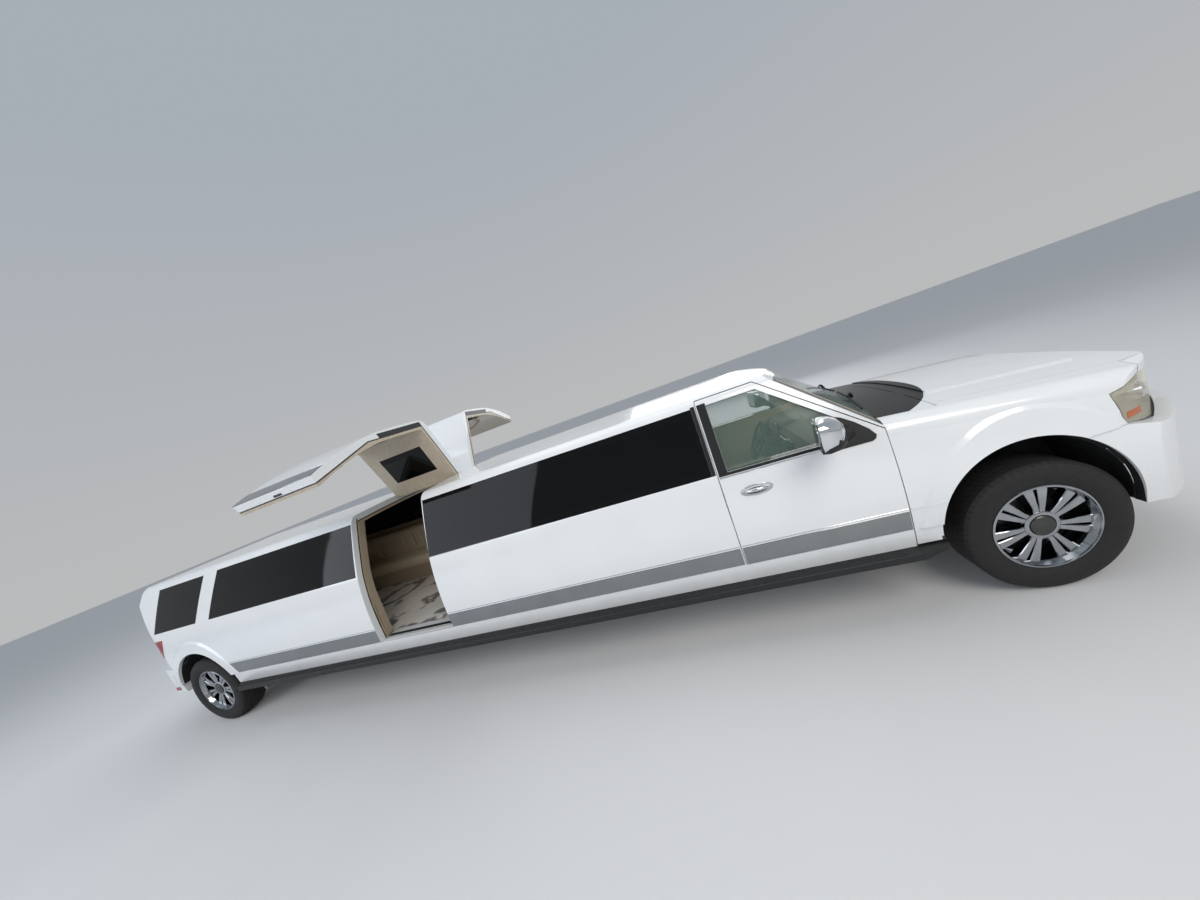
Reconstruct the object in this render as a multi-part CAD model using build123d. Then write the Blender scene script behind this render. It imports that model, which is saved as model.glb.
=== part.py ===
from build123d import *
import math
import os

# A stretch limousine on a full-size sport utility chassis, with two roof-hinged doors amidships.
# Millimetres. +X points to the front, +Y to the vehicle's left, +Z up. The ground is at Z 0.
# Each piece is drawn shut, and the two roof-hinged doors are then turned up to stand open.

# Overall sizes
WHEELBASE = 7800
FRONT_OVERHANG = 985
REAR_OVERHANG = 1135
FRONT_PROUD = 70
BUMPER_PROUD = 35
HALF_WIDTH = 1000
LENGTH = FRONT_OVERHANG + WHEELBASE + REAR_OVERHANG
FRONT_AXLE_X = LENGTH / 2 - FRONT_OVERHANG
REAR_AXLE_X = FRONT_AXLE_X - WHEELBASE
NOSE_X = LENGTH / 2 - FRONT_PROUD
TAIL_X = BUMPER_PROUD - LENGTH / 2

# Heights
ROCKER_Z = 455
SILL_Z = 578
WIDEST_Z = 870
BELT_Z = 1237
WINDOW_TOP_Z = 1726
ROOF_SEAM_Z = 1772
ROOF_EDGE_Z = 1792
ROOF_Z = 1805
FLOOR_BOTTOM_Z = 530
FLOOR_Z = 572

# Half widths of the cabin's section
ROCKER_Y = 985
BELT_Y = 958
WINDOW_TOP_Y = 800
ROOF_EDGE_Y = 700
CANTRAIL_Y = 690
CANTRAIL_Z = 1600
WALL = 90
SHUT_GAP = 6
SEAT_GAP = 0.3
GLASS = 8
PANE_MARGIN = 45

# Stations along the side
DOOR_FRONT_X = FRONT_AXLE_X - 660
DOOR_REAR_X = DOOR_FRONT_X - 1030
JET_FRONT_X = DOOR_REAR_X - 2500
JET_LENGTH = 850
JET_REAR_X = JET_FRONT_X - JET_LENGTH
JET_LEAN = 70
GATE_SEAM_X = TAIL_X + 400

# Windscreen: its line at the sides, its rake and its bulge
SCREEN_FOOT_X = DOOR_FRONT_X - 4
SCREEN_FOOT_Z = 1318
SCREEN_RAKE = 39.9
SCREEN_BULGE = 95
HEADER_BACK = 400
SCREEN_HALF = 800
PILLAR_WIDTH = 45
DOOR_FRAME = 35

# Nose: the hood falls to the front at this slope
HOOD_SLOPE = 5
HOOD_REAR_X = FRONT_AXLE_X - 330
HOOD_HALF_REAR = 800
HOOD_HALF_FRONT = 770
HOOD_LIP_Z = 1030
HOOD_SKIN = 30
HOOD_SWING_GAP = 16
FENDER_WALL = 60
FENDER_TOP_Z = 1300
HOOD_CROWN_Z = 1362
HOOD_DOME = (585, 560)
HOOD_DOME_PROUD = 10
BUMPER_LOW_Z = 445
BUMPER_SHELF_Z = 925
BUMPER_SEAM_Z = 893
LAMP_LOW_Z = 872
COWL_HALF = 862
POST_Y = 790
POST_LENGTH = 85
BULKHEAD = 25
COWL_SKIN = 25

# Grille
GRILLE_HALF = 430
GRILLE_LOW_Z = 700
GRILLE_FRAME = 28
GRILLE_BARS = 17
GRILLE_BAR = 9

# Wheels
TYRE_RADIUS = 405
TYRE_WIDTH = 275
RIM_RADIUS = 262
TRACK = 1704
WHEEL_Y = TRACK / 2
ARCH_RADIUS = 465
ARCH_Z = 470
FRONT_ARCH_BACK = 35
FRONT_ARCH_RADIUS = 475
FRONT_ARCH_Z = 505
FLARE_WIDTH = 140
FLARE_BEVEL = 50
FLARE_PROUD = 14
SPOKE_PAIRS = 7
KINGPIN_Y = 790
KNUCKLE_DOWN = 140
KNUCKLE_UP = 150
SPRING_RADIUS = 42
RIM_SEAT = 30
LINER = 10
LINER_INNER_Y = 500
WHEELHOUSE_Y = 670

# Roof-hinged doors
JET_HINGE_Y = 100
JET_OPEN_ANGLE = 70
JET_REBATE = 14
JET_FLANGE = 15

# Hinges of the other doors and lids
DOOR_EDGE_SLOPE = 0.3
DOOR_HINGES = [(700, 780), (1060, 1140)]
HOOD_HINGE = (400, 520)
GATE_HINGE = (300, 420)

# Chassis
RAIL_Y = 420
RAIL_WIDTH = 80
RAIL_LOW_Z = 360
RAIL_HIGH_Z = 500
CROSS_HEIGHT = 45
PROP_Z = 385
PROP_RADIUS = 38
GEARBOX_REAR = 880
ENGINE_TOP_Z = 1000
RAIL_RISE = 115
OUTRIGGER_Y = ROCKER_Y - 105
CROSS_COUNT = 8
DIFFERENTIAL_RADIUS = 118

# Tow hitch under the tail, and the four holes of the number plate
HITCH_OUTER = 64
HITCH_INNER = 51
HITCH_LENGTH = 280
HITCH_MOUTH_X = TAIL_X + 20
HITCH_Z = RAIL_LOW_Z + 61 - HITCH_OUTER / 2
HITCH_PIN_X = HITCH_MOUTH_X + 60
HITCH_PIN_RADIUS = 8
PLATE_X = TAIL_X + 34
PLATE_Z = 985
PLATE_RECESS = (380, 180)
PLATE_HOLES = (178, 121)
PLATE_HOLE_RADIUS = 3
PLATE_HOLE_DEPTH = 30

# Rear end
BUMPER_REAR_SEAM_Z = 800
BUMPER_REAR_X = REAR_AXLE_X - ARCH_RADIUS - LINER
BUMPER_REAR_LOW_Z = 470
GATE_HALF = CANTRAIL_Y
GATE_LOW_Z = 806
TAIL_LAMP_LOW_Z = 945
TAIL_LAMP_HIGH_Z = 1165

# Seats and bench
SOFT_GAP = 0.3
BENCH_Y = 420
BENCH_BACK_Y = 760
BENCH_SEAT_Z = 900
BENCH_BACK_Z = 1235

# Running boards
BOARD_FRONT_X = FRONT_AXLE_X - 500
BOARD_REAR_X = REAR_AXLE_X + 500
BOARD_OUTER_Y = 1075
BOARD_INNER_Y = 925
BOARD_HEIGHT = 42

FAR = 3000
SCREEN_REACH = 1.3 * LENGTH
SIDES = [("right", -1), ("left", 1)]


def rows_of(steps):
    """Rows of start, middle, end from a list of steps; a step of two points is an arc."""
    rows = []
    here = steps[0]
    for step in steps[1:]:
        is_arc = isinstance(step[0], tuple)
        middle, end = step if is_arc else (None, step)
        rows.append((here, middle, end))
        here = end
    return rows


def with_mirror(steps, crown=None):
    """A closed loop from its half, from the middle line round to it, or to one arc over this crown."""
    rows = rows_of(steps)

    def flip(point):
        return None if point is None else (-point[0], point[1])

    back = [(flip(end), flip(middle), flip(start)) for start, middle, end in reversed(rows)]
    tip = rows[-1][2]
    over = [] if crown is None else [(tip, crown, flip(tip))]
    return rows + over + back


def crown_drop(half, drop, across):
    """How far an arc over a half width, with this drop at its end, has fallen at another place."""
    radius = (half * half + drop * drop) / (2 * drop)
    return radius - math.sqrt(radius * radius - across * across)


def face_of(rows, place):
    """The flat face inside a closed loop of rows, put in space by place."""
    edges = []
    for start, middle, end in rows:
        if middle is None:
            edges.append(Line(place(start), place(end)))
        else:
            edges.append(ThreePointArc(place(start), place(middle), place(end)))
    return make_face(edges)


def closed(steps):
    """A closed loop from steps that end where they began."""
    return rows_of(list(steps) + [steps[0]])


def box(x0, x1, y0, y1, z0, z1):
    """A box between two corners, in any order of them."""
    size = (abs(x1 - x0), abs(y1 - y0), abs(z1 - z0))
    centre = ((x0 + x1) / 2, (y0 + y1) / 2, (z0 + z1) / 2)
    return Pos(*centre) * Box(*size)


def side_prism(steps, y0, y1):
    """A prism across the vehicle from an outline seen from the side, as (x, z)."""
    face = face_of(closed(steps), lambda p: (p[0], y0, p[1]))
    return extrude(face, y1 - y0, dir=(0, 1, 0))


def end_prism(steps, x0, x1):
    """A prism along the vehicle from an outline seen from its end, as (y, z)."""
    face = face_of(closed(steps), lambda p: (x0, p[0], p[1]))
    return extrude(face, x1 - x0, dir=(1, 0, 0))


def plan_prism(steps, z0, z1):
    """An upright prism from an outline seen from above, as (x, y)."""
    face = face_of(closed(steps), lambda p: (p[0], p[1], z0))
    return extrude(face, z1 - z0, dir=(0, 0, 1))


def shrunk(face, depth):
    """A flat face drawn in by depth, or let out where depth is below zero."""
    if depth == 0:
        return face
    return offset(face, -depth, kind=Kind.ARC)


def cabin_section(depth):
    """The constant section of the long body, along its whole length."""
    half = [
        (0, 200),
        (950, 200),
        (ROCKER_Y, 520),
        ((HALF_WIDTH, WIDEST_Z), (BELT_Y, BELT_Z)),
        (((BELT_Y + WINDOW_TOP_Y) / 2 + 6, (BELT_Z + WINDOW_TOP_Z) / 2), (WINDOW_TOP_Y, WINDOW_TOP_Z)),
        ((WINDOW_TOP_Y - 40, ROOF_SEAM_Z + 3), (ROOF_EDGE_Y, ROOF_EDGE_Z)),
    ]
    drop = crown_drop(ROOF_EDGE_Y, ROOF_Z - ROOF_EDGE_Z, ROOF_EDGE_Y / 2)
    rows = with_mirror(half + [((ROOF_EDGE_Y / 2, ROOF_Z - drop), (0, ROOF_Z))])
    face = shrunk(face_of(rows, lambda p: (-LENGTH / 2 - 200, p[0], p[1])), depth)
    return extrude(face, LENGTH + 400, dir=(1, 0, 0))


def plan_form(depth):
    """The outline from above: a rounded nose, straight sides and rounded rear corners."""
    nose_drop = crown_drop(660, 140, 330)
    tail_drop = crown_drop(610, 90, 305)
    half = [
        (0, NOSE_X),
        ((330, NOSE_X - nose_drop), (660, NOSE_X - 140)),
        ((880, NOSE_X - 330), (1015, FRONT_AXLE_X + 190)),
        (1015, REAR_AXLE_X - 300),
        ((905, TAIL_X + 375), (610, TAIL_X + 90)),
        ((305, TAIL_X + tail_drop), (0, TAIL_X)),
    ]
    face = shrunk(face_of(with_mirror(half), lambda p: (p[1], p[0], 100)), depth)
    return extrude(face, 2000, dir=(0, 0, 1))


def cabin_side(depth):
    """The outline from the side: windscreen, roof and tailgate. The front is left open."""
    rake = math.radians(SCREEN_RAKE)
    lift = SCREEN_BULGE / math.cos(rake)
    header_x = DOOR_FRONT_X - HEADER_BACK
    header_z = SCREEN_FOOT_Z + lift + (SCREEN_FOOT_X - header_x) * math.tan(rake)
    foot_x = DOOR_FRONT_X + 500
    foot_z = header_z - (foot_x - header_x) * math.tan(rake)
    steps = [
        (foot_x, 100),
        (foot_x, foot_z),
        (header_x, header_z),
        ((header_x - 330, ROOF_Z - 5), (header_x - 900, ROOF_Z + 2)),
        (REAR_AXLE_X + 300, ROOF_Z + 2),
        ((REAR_AXLE_X - 250, ROOF_Z - 2), (GATE_SEAM_X - 20, ROOF_Z - 18)),
        (TAIL_X + 85, BELT_Z + 40),
        ((TAIL_X + 22, BELT_Z - 130), (TAIL_X - 20, WIDEST_Z)),
        (TAIL_X - 60, 100),
    ]
    face = shrunk(face_of(closed(steps), lambda p: (p[0], -1300, p[1])), depth)
    return extrude(face, 2600, dir=(0, 1, 0))


def screen_crown(depth):
    """Everything behind the curved windscreen surface."""
    rake = math.radians(SCREEN_RAKE)
    wide = 1200
    drop = SCREEN_BULGE * ((wide / SCREEN_HALF) ** 2 - 1)
    half = [(0, -SCREEN_REACH), (wide, -SCREEN_REACH), (wide, -drop)]
    back_x = SCREEN_FOOT_X - SCREEN_REACH * math.cos(rake)
    back_z = SCREEN_FOOT_Z + SCREEN_REACH * math.sin(rake)

    def place(p):
        out = p[1] - depth
        return (back_x + out * math.sin(rake), p[0], back_z + out * math.cos(rake))

    face = face_of(with_mirror(half, crown=(0, SCREEN_BULGE)), place)
    return extrude(face, 2 * SCREEN_REACH, dir=(math.cos(rake), 0, -math.sin(rake)))


def cabin_form(depth):
    """The closed form of cabin and tail, drawn in by depth."""
    form = cabin_section(depth) & plan_form(depth)
    form = form & cabin_side(depth)
    return form & screen_crown(depth)


def nose_form(depth, proud=0):
    """The closed form of hood, fenders and front face, drawn in by depth."""
    half = [
        (0, 0),
        (950, 0),
        (ROCKER_Y, 520),
        ((HALF_WIDTH, WIDEST_Z), (962, 1190)),
        ((938, 1266), (870, FENDER_TOP_Z)),
    ]
    slope = math.radians(HOOD_SLOPE)
    back = 900

    def place(p):
        up = p[1] * math.cos(slope)
        x = DOOR_FRONT_X - back * math.cos(slope) + up * math.sin(slope)
        return (x, p[0], back * math.sin(slope) + up * math.cos(slope))

    face = face_of(with_mirror(half, crown=(0, HOOD_CROWN_Z)), place)
    form = extrude(shrunk(face, depth), FAR, dir=(math.cos(slope), 0, -math.sin(slope)))
    steps = [
        (DOOR_FRONT_X - 600, 0),
        (NOSE_X + proud + 60, 0),
        (NOSE_X + proud + 20, 800),
        ((NOSE_X - 15, 985), (NOSE_X - 75, 1110)),
        ((NOSE_X - 142, 1183), (NOSE_X - 330, 1262)),
        (NOSE_X - 330, 1600),
        (DOOR_FRONT_X - 600, 1600),
    ]
    side = face_of(closed(steps), lambda p: (p[0], -1300, p[1]))
    form = form & extrude(shrunk(side, depth), 2600, dir=(0, 1, 0))
    return form & plan_form(depth - proud)


def arch_shape(axle_x):
    """The centre and radius of a wheel arch. The front one is larger and sits a little behind its axle."""
    if axle_x == FRONT_AXLE_X:
        return (FRONT_AXLE_X - FRONT_ARCH_BACK, FRONT_ARCH_Z, FRONT_ARCH_RADIUS)
    return (axle_x, ARCH_Z, ARCH_RADIUS)


def arch_cut(axle_x, sign, inner_y, grow=0):
    """The space of a wheel arch: round above its centre and straight below it."""
    x, z, radius = arch_shape(axle_x)
    reach = radius + grow
    steps = [(x - reach, 0), (x - reach, z), ((x, z + reach), (x + reach, z)), (x + reach, 0)]
    return side_prism(steps, sign * inner_y, sign * 1200)


def flare(form, axle_x, sign):
    """The broad raised band round a wheel arch, with a bevelled edge."""
    x, z, radius = arch_shape(axle_x)
    foot, top = (HALF_WIDTH - 45, HALF_WIDTH + FLARE_PROUD + 2)
    outer = radius + FLARE_WIDTH
    turn = -90 if sign > 0 else 90
    cone = Cone(outer + FLARE_BEVEL, outer - FLARE_BEVEL, top - foot)
    band = form & (Pos(x, sign * (foot + top) / 2, z) * Rot(turn, 0, 0) * cone)
    low = box(x - FAR, x + FAR, -FAR, FAR, -FAR, SILL_Z)
    return band - low - arch_cut(axle_x, sign, foot - 1)


CABIN = cabin_form(0)
CABIN_INNER = cabin_form(WALL)
CABIN_SHELL = CABIN - CABIN_INNER
CABIN_PANE = CABIN - cabin_form(GLASS)
NOSE = nose_form(0)
NOSE_SHELL = NOSE - nose_form(FENDER_WALL)
NOSE_PROUD = nose_form(-FLARE_PROUD)
CABIN_PROUD = cabin_form(-FLARE_PROUD)


def hood_space(grow=0):
    """The upright prism of the hood's outline."""
    steps = [
        (HOOD_REAR_X - grow, -HOOD_HALF_REAR - grow),
        (HOOD_REAR_X - grow, HOOD_HALF_REAR + grow),
        (FRONT_AXLE_X + 600, HOOD_HALF_FRONT + grow),
        (NOSE_X + 200, 560 + grow),
        (NOSE_X + 200, -560 - grow),
        (FRONT_AXLE_X + 600, -HOOD_HALF_FRONT - grow),
    ]
    return plan_prism(steps, HOOD_LIP_Z - grow, 1700)


def lamp_space(sign, grow=0):
    """The prism of a headlamp, seen from the side."""
    x = FRONT_AXLE_X
    steps = [
        (x + 690 - grow, 1400),
        (x + 560 - grow, 1150 + grow),
        (x + 385 - grow, 1090 + grow),
        (x + 385 - grow, 1085),
        (x + 420 - grow, LAMP_LOW_Z + 46 - grow),
        (x + 635, LAMP_LOW_Z - grow),
        (x + 1100, LAMP_LOW_Z - grow),
        (x + 1100, 1400),
    ]
    return side_prism(steps, sign * (GRILLE_HALF + 2 * SHUT_GAP - grow), sign * 1200)


def bumper_space(grow=0):
    """The prism of the front bumper's cover, seen from the side."""
    x = FRONT_AXLE_X
    steps = [
        (x + 200, BUMPER_LOW_Z),
        (x + 200, BUMPER_SEAM_Z + grow),
        (x + 415, BUMPER_SEAM_Z + 20 + grow),
        (x + 425, LAMP_LOW_Z + 40 + grow),
        (x + 635, LAMP_LOW_Z - SHUT_GAP + grow),
        (x + 760, BUMPER_SHELF_Z + grow),
        (x + 1300, BUMPER_SHELF_Z + grow),
        (x + 1300, BUMPER_LOW_Z),
    ]
    return side_prism(steps, -1300, 1300)


def jet_space(sign, grow=0):
    """The space of a roof-hinged door: roof and side between two leaning edges."""
    front, rear = (JET_FRONT_X + grow, JET_REAR_X - grow)
    steps = [
        (front, ROOF_SEAM_Z),
        (front - JET_LEAN, SILL_Z + SHUT_GAP - grow),
        (rear - JET_LEAN, SILL_Z + SHUT_GAP - grow),
        (rear, ROOF_SEAM_Z),
        (rear, 2100),
        (front, 2100),
    ]
    return side_prism(steps, sign * (JET_HINGE_Y - grow), sign * 1300)


def gate_space(grow=0):
    """The space of the tailgate, with upright edges."""
    half = GATE_HALF + grow
    return box(TAIL_X - 200, GATE_SEAM_X + grow, -half, half, GATE_LOW_Z - grow, 2100)


def pane_outline(x_front_low, x_front_high, x_rear_low, x_rear_high, low, high):
    """A four-sided pane, as (x, z)."""
    return [(x_front_low, low), (x_front_high, high), (x_rear_high, high), (x_rear_low, low)]


def drawn_in(outline, margin):
    """A four-sided pane outline drawn in by a margin on each side."""
    (a, low), (b, high), (c, _), (d, _) = outline
    return [
        (a - margin, low + margin),
        (b - margin, high - margin),
        (c + margin, high - margin),
        (d + margin, low + margin),
    ]


# Fixed and door panes: name, front foot, front head, rear head, rear foot along X
MID_PANE = pane_outline(
    DOOR_REAR_X - 14, DOOR_REAR_X - 14, JET_FRONT_X - JET_LEAN * 0.55 + 14, JET_FRONT_X + 14,
    BELT_Z + 14, WINDOW_TOP_Z)
REAR_PANE = pane_outline(
    JET_REAR_X - JET_LEAN * 0.55 - 14, JET_REAR_X - 14, REAR_AXLE_X + 470, REAR_AXLE_X + 700,
    BELT_Z + 14, WINDOW_TOP_Z)
QUARTER_PANE = pane_outline(
    REAR_AXLE_X + 235, REAR_AXLE_X + 460, REAR_AXLE_X - 560, REAR_AXLE_X - 390,
    BELT_Z + 14, WINDOW_TOP_Z - 8)
JET_PANE = pane_outline(
    JET_FRONT_X - JET_LEAN * 0.55 - 10, JET_FRONT_X - 10, JET_REAR_X - JET_LEAN * 0.55 + 10, JET_REAR_X + 10,
    BELT_Z + 14, WINDOW_TOP_Z)
FIXED_PANES = [MID_PANE, REAR_PANE, QUARTER_PANE]


def pane(outline, sign):
    """A pane bonded flush in the outer face of the wall."""
    return CABIN_PANE & side_prism(outline, sign * 300, sign * 1300)


def glazed(panel, outline, sign):
    """A wall with a rebate for a pane and, inside it, the window itself."""
    panel = panel - pane(outline, sign)
    return panel - side_prism(drawn_in(outline, PANE_MARGIN), sign * 300, sign * 1300)


def side_wall(sign, x0, x1, z0, z1):
    """A stretch of the cabin's side wall, outside the roof's lining."""
    wall = CABIN_SHELL & box(x0, x1, 0, sign * 1300, z0, z1)
    return wall - box(x0, x1, 0, sign * CANTRAIL_Y, CANTRAIL_Z, 2100)


def behind_door(sign, gap=0):
    """All behind the front door's rear edge, which slants so that the door swings free of the pillar."""
    heights = [(200, HALF_WIDTH), (WIDEST_Z, HALF_WIDTH), (BELT_Z, BELT_Y), (WINDOW_TOP_Z, WINDOW_TOP_Y)]
    lean = (BELT_Y - WINDOW_TOP_Y) / (WINDOW_TOP_Z - BELT_Z)
    heights.append((2000, WINDOW_TOP_Y - lean * (2000 - WINDOW_TOP_Z)))
    sections = []
    for z, y in heights:
        edge = DOOR_REAR_X + gap
        steps = [
            (edge - DOOR_EDGE_SLOPE * 60, y + 60),
            (edge + DOOR_EDGE_SLOPE * 200, y - 200),
            (JET_REAR_X, y - 200),
            (JET_REAR_X, y + 60),
        ]
        sections.append(face_of(closed(steps), lambda p, z=z: (p[0], p[1], z)))
    space = loft(sections, ruled=True)
    return space if sign > 0 else mirror_y(space)


def side_mid(sign):
    """The long side between the front door and the roof-hinged door."""
    wall = side_wall(sign, JET_FRONT_X - 200, DOOR_REAR_X + 60, SILL_Z, ROOF_SEAM_Z)
    wall = (wall & behind_door(sign)) - jet_space(sign, SHUT_GAP)
    return glazed(wall, MID_PANE, sign)


def side_rear(sign):
    """The side from the roof-hinged door round the rear corner, with its wheel arch."""
    wall = side_wall(sign, TAIL_X - 100, JET_REAR_X, SILL_Z, ROOF_SEAM_Z)
    wall = wall - jet_space(sign, SHUT_GAP)
    wall = wall - gate_space(SHUT_GAP)
    house = arch_cut(REAR_AXLE_X, sign, WHEELHOUSE_Y, LINER) & CABIN
    house = house & box(-LENGTH, LENGTH, 0, sign * 1300, SILL_Z, FAR)
    wall = wall + house
    wall = wall + flare(CABIN_PROUD, REAR_AXLE_X, sign)
    wall = wall - arch_cut(REAR_AXLE_X, sign, WHEELHOUSE_Y + LINER)
    wall = wall - box(TAIL_X - 100, BUMPER_REAR_X, 0, sign * 1300, 0, BUMPER_REAR_SEAM_Z)
    wall = wall - box(REAR_AXLE_X - 600, REAR_AXLE_X + 600, 0, sign * 1300, 0, SILL_Z)
    wall = wall - tail_lamp_space(sign)
    wall = glazed(wall, REAR_PANE, sign)
    return glazed(wall, QUARTER_PANE, sign)


def tail_lamp_space(sign):
    """The block of a tail lamp at the rear corner."""
    steps = [
        (REAR_AXLE_X - 760, TAIL_LAMP_HIGH_Z),
        (REAR_AXLE_X - 850, TAIL_LAMP_LOW_Z),
        (TAIL_X - 100, TAIL_LAMP_LOW_Z),
        (TAIL_X - 100, TAIL_LAMP_HIGH_Z),
    ]
    inner = GATE_HALF + SHUT_GAP
    return side_prism(steps, sign * inner, sign * 1300)


def tail_lamps():
    """Two lamps that wrap round the rear corners."""
    lens = CABIN - cabin_form(60)
    return [lens & tail_lamp_space(sign) for _, sign in SIDES]


def roof_part(x0, x1):
    """A stretch of the roof above its seam with the sides, and its lining between them."""
    above = box(x0, x1, -1300, 1300, ROOF_SEAM_Z, 2100)
    roof = CABIN_SHELL & (above + box(x0, x1, -CANTRAIL_Y, CANTRAIL_Y, CANTRAIL_Z, 2100))
    gate = gate_space(SHUT_GAP)
    for _, sign in SIDES:
        roof = roof - jet_space(sign, SHUT_GAP)
        near, far = (sign * GATE_HINGE[0], sign * GATE_HINGE[1])
        gate = gate - box(GATE_SEAM_X + SEAT_GAP, GATE_SEAM_X + 100, near, far, CANTRAIL_Z, 2200)
    return roof - gate


def pillar_line(depth, z):
    """X of the line drawn in by depth from the windscreen's side edge, at height z."""
    rake = math.radians(SCREEN_RAKE)
    return SCREEN_FOOT_X + (SCREEN_FOOT_Z - depth / math.cos(rake) - z) / math.tan(rake)


def door_space(sign, grow=0):
    """The space of a front door: straight in front, then along the windscreen pillar."""
    rake = math.radians(SCREEN_RAKE)
    depth = PILLAR_WIDTH + SHUT_GAP - grow
    front = DOOR_FRONT_X + grow
    corner_z = SCREEN_FOOT_Z - depth / math.cos(rake) - (front - SCREEN_FOOT_X) * math.tan(rake)
    top = ROOF_SEAM_Z - SHUT_GAP + grow
    rear = DOOR_REAR_X + SHUT_GAP - grow
    steps = [
        (front, SILL_Z - grow + SHUT_GAP),
        (front, corner_z),
        (pillar_line(depth, top), top),
        (rear, top),
        (rear, SILL_Z - grow + SHUT_GAP),
    ]
    return side_prism(steps, sign * (CANTRAIL_Y + SHUT_GAP), sign * 1300)


def screen_space():
    """The opening of the windscreen, seen along X."""
    half = [(860, SCREEN_FOOT_Z - 100), (850, SCREEN_FOOT_Z), (695, ROOF_SEAM_Z - 30)]
    steps = half + [(-y, z) for y, z in reversed(half)]
    return end_prism(steps, DOOR_FRONT_X - 700, DOOR_FRONT_X + 500)


def roof_front():
    """The front roof with its header and the two windscreen pillars."""
    roof = roof_part(JET_FRONT_X + SHUT_GAP, DOOR_FRONT_X + 200)
    band = [
        (pillar_line(-80, 1250), 1250),
        (pillar_line(-80, ROOF_SEAM_Z), ROOF_SEAM_Z),
        (pillar_line(PILLAR_WIDTH, ROOF_SEAM_Z), ROOF_SEAM_Z),
        (pillar_line(PILLAR_WIDTH, 1250), 1250),
    ]
    frame = CABIN_SHELL & side_prism(band, -1300, 1300)
    frame = frame - (NOSE & box(DOOR_FRONT_X + SHUT_GAP, FAR * 3, -1300, 1300, 0, FAR))
    return (roof + frame) - screen_space()


def windscreen():
    """The bonded windscreen in its opening, down to the cowl."""
    glass = (CABIN - screen_crown(GLASS)) & screen_space()
    return (glass & box(-LENGTH, LENGTH, -FAR, FAR, SCREEN_FOOT_Z - 60, FAR)) - NOSE


def fender(sign):
    """A front fender from the door to the headlamp, with its liner and arch lip."""
    wall = NOSE_SHELL & box(DOOR_FRONT_X + SHUT_GAP, NOSE_X + 100, 0, sign * 1300, SILL_Z - 110, FAR)
    wall = wall - bumper_space(SHUT_GAP) - lamp_space(sign, SHUT_GAP) - hood_space(SHUT_GAP)
    wall = wall - box(-LENGTH, HOOD_REAR_X + 1, 0, sign * COWL_HALF, 900, FAR)
    wall = wall - box(FRONT_AXLE_X, NOSE_X + 100, 0, sign * (GRILLE_HALF + 2 * SHUT_GAP), 0, FAR)
    liner = arch_cut(FRONT_AXLE_X, sign, LINER_INNER_Y, LINER) - arch_cut(FRONT_AXLE_X, sign, LINER_INNER_Y - 1)
    liner = liner & box(-LENGTH, LENGTH, 0, sign * 940, RAIL_HIGH_Z, FAR) & nose_form(FENDER_WALL - 1)
    band = flare(NOSE_PROUD, FRONT_AXLE_X, sign)
    band = band & box(DOOR_FRONT_X + SHUT_GAP, NOSE_X, 0, sign * 1300, SILL_Z, FAR)
    wall = wall + (band - lamp_space(sign, SHUT_GAP)) + liner
    wall = wall - bumper_space(SHUT_GAP)
    return wall - arch_cut(FRONT_AXLE_X, sign, LINER_INNER_Y - 1)


def hood():
    """The hood with its leading edge rolled down over the grille."""
    skin = (NOSE - nose_form(HOOD_SKIN)) & hood_space()
    rear, front = HOOD_DOME
    dome = [(HOOD_REAR_X + 90, -rear), (HOOD_REAR_X + 90, rear), (NOSE_X - 360, front), (NOSE_X - 360, -front)]
    layer = nose_form(-HOOD_DOME_PROUD) - nose_form(HOOD_SKIN / 2)
    return skin + (layer & plan_prism(dome, HOOD_LIP_Z, 1700))


def headlamps():
    """Two lamps that wrap round the front corners."""
    body = NOSE - nose_form(110)
    lamps = []
    for _, sign in SIDES:
        lamp = body & lamp_space(sign)
        lamps.append(lamp - hood_space(HOOD_SWING_GAP))
    return lamps


def grille_space(grow=0):
    """The opening of the grille."""
    return box(NOSE_X - 260, NOSE_X + 200, -GRILLE_HALF - grow, GRILLE_HALF + grow,
               GRILLE_LOW_Z - grow, HOOD_LIP_Z - SHUT_GAP)


def grille():
    """A frame with upright bars, all in the plane of the nose."""
    bars = (nose_form(0, 12) - nose_form(45, 12)) & grille_space()
    pitch = 2 * (GRILLE_HALF - GRILLE_FRAME) / (GRILLE_BARS + 1)
    low, high = (GRILLE_LOW_Z + GRILLE_FRAME, HOOD_LIP_Z - SHUT_GAP - GRILLE_FRAME)
    for index in range(GRILLE_BARS + 1):
        y = -GRILLE_HALF + GRILLE_FRAME + index * pitch
        y_low, y_high = (y + GRILLE_BAR / 2, y + pitch - GRILLE_BAR / 2)
        bars = bars - box(NOSE_X - 400, NOSE_X + 200, y_low, y_high, low, high)
    return bars


def front_bumper():
    """The deep white bumper cover that also forms the front half of each arch."""
    cover = nose_form(0, FRONT_PROUD) - nose_form(FENDER_WALL, FRONT_PROUD)
    cover = cover & bumper_space()
    for _, sign in SIDES:
        cover = cover + (flare(NOSE_PROUD, FRONT_AXLE_X, sign) & bumper_space())
        cover = cover - arch_cut(FRONT_AXLE_X, sign, LINER_INNER_Y)
    cover = cover - grille_space(SEAT_GAP)
    intake = [(430, 520), (500, 560), (460, 660), (-460, 660), (-500, 560), (-430, 520)]
    return cover - end_prism(intake, NOSE_X - 250, NOSE_X + 200)


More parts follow.
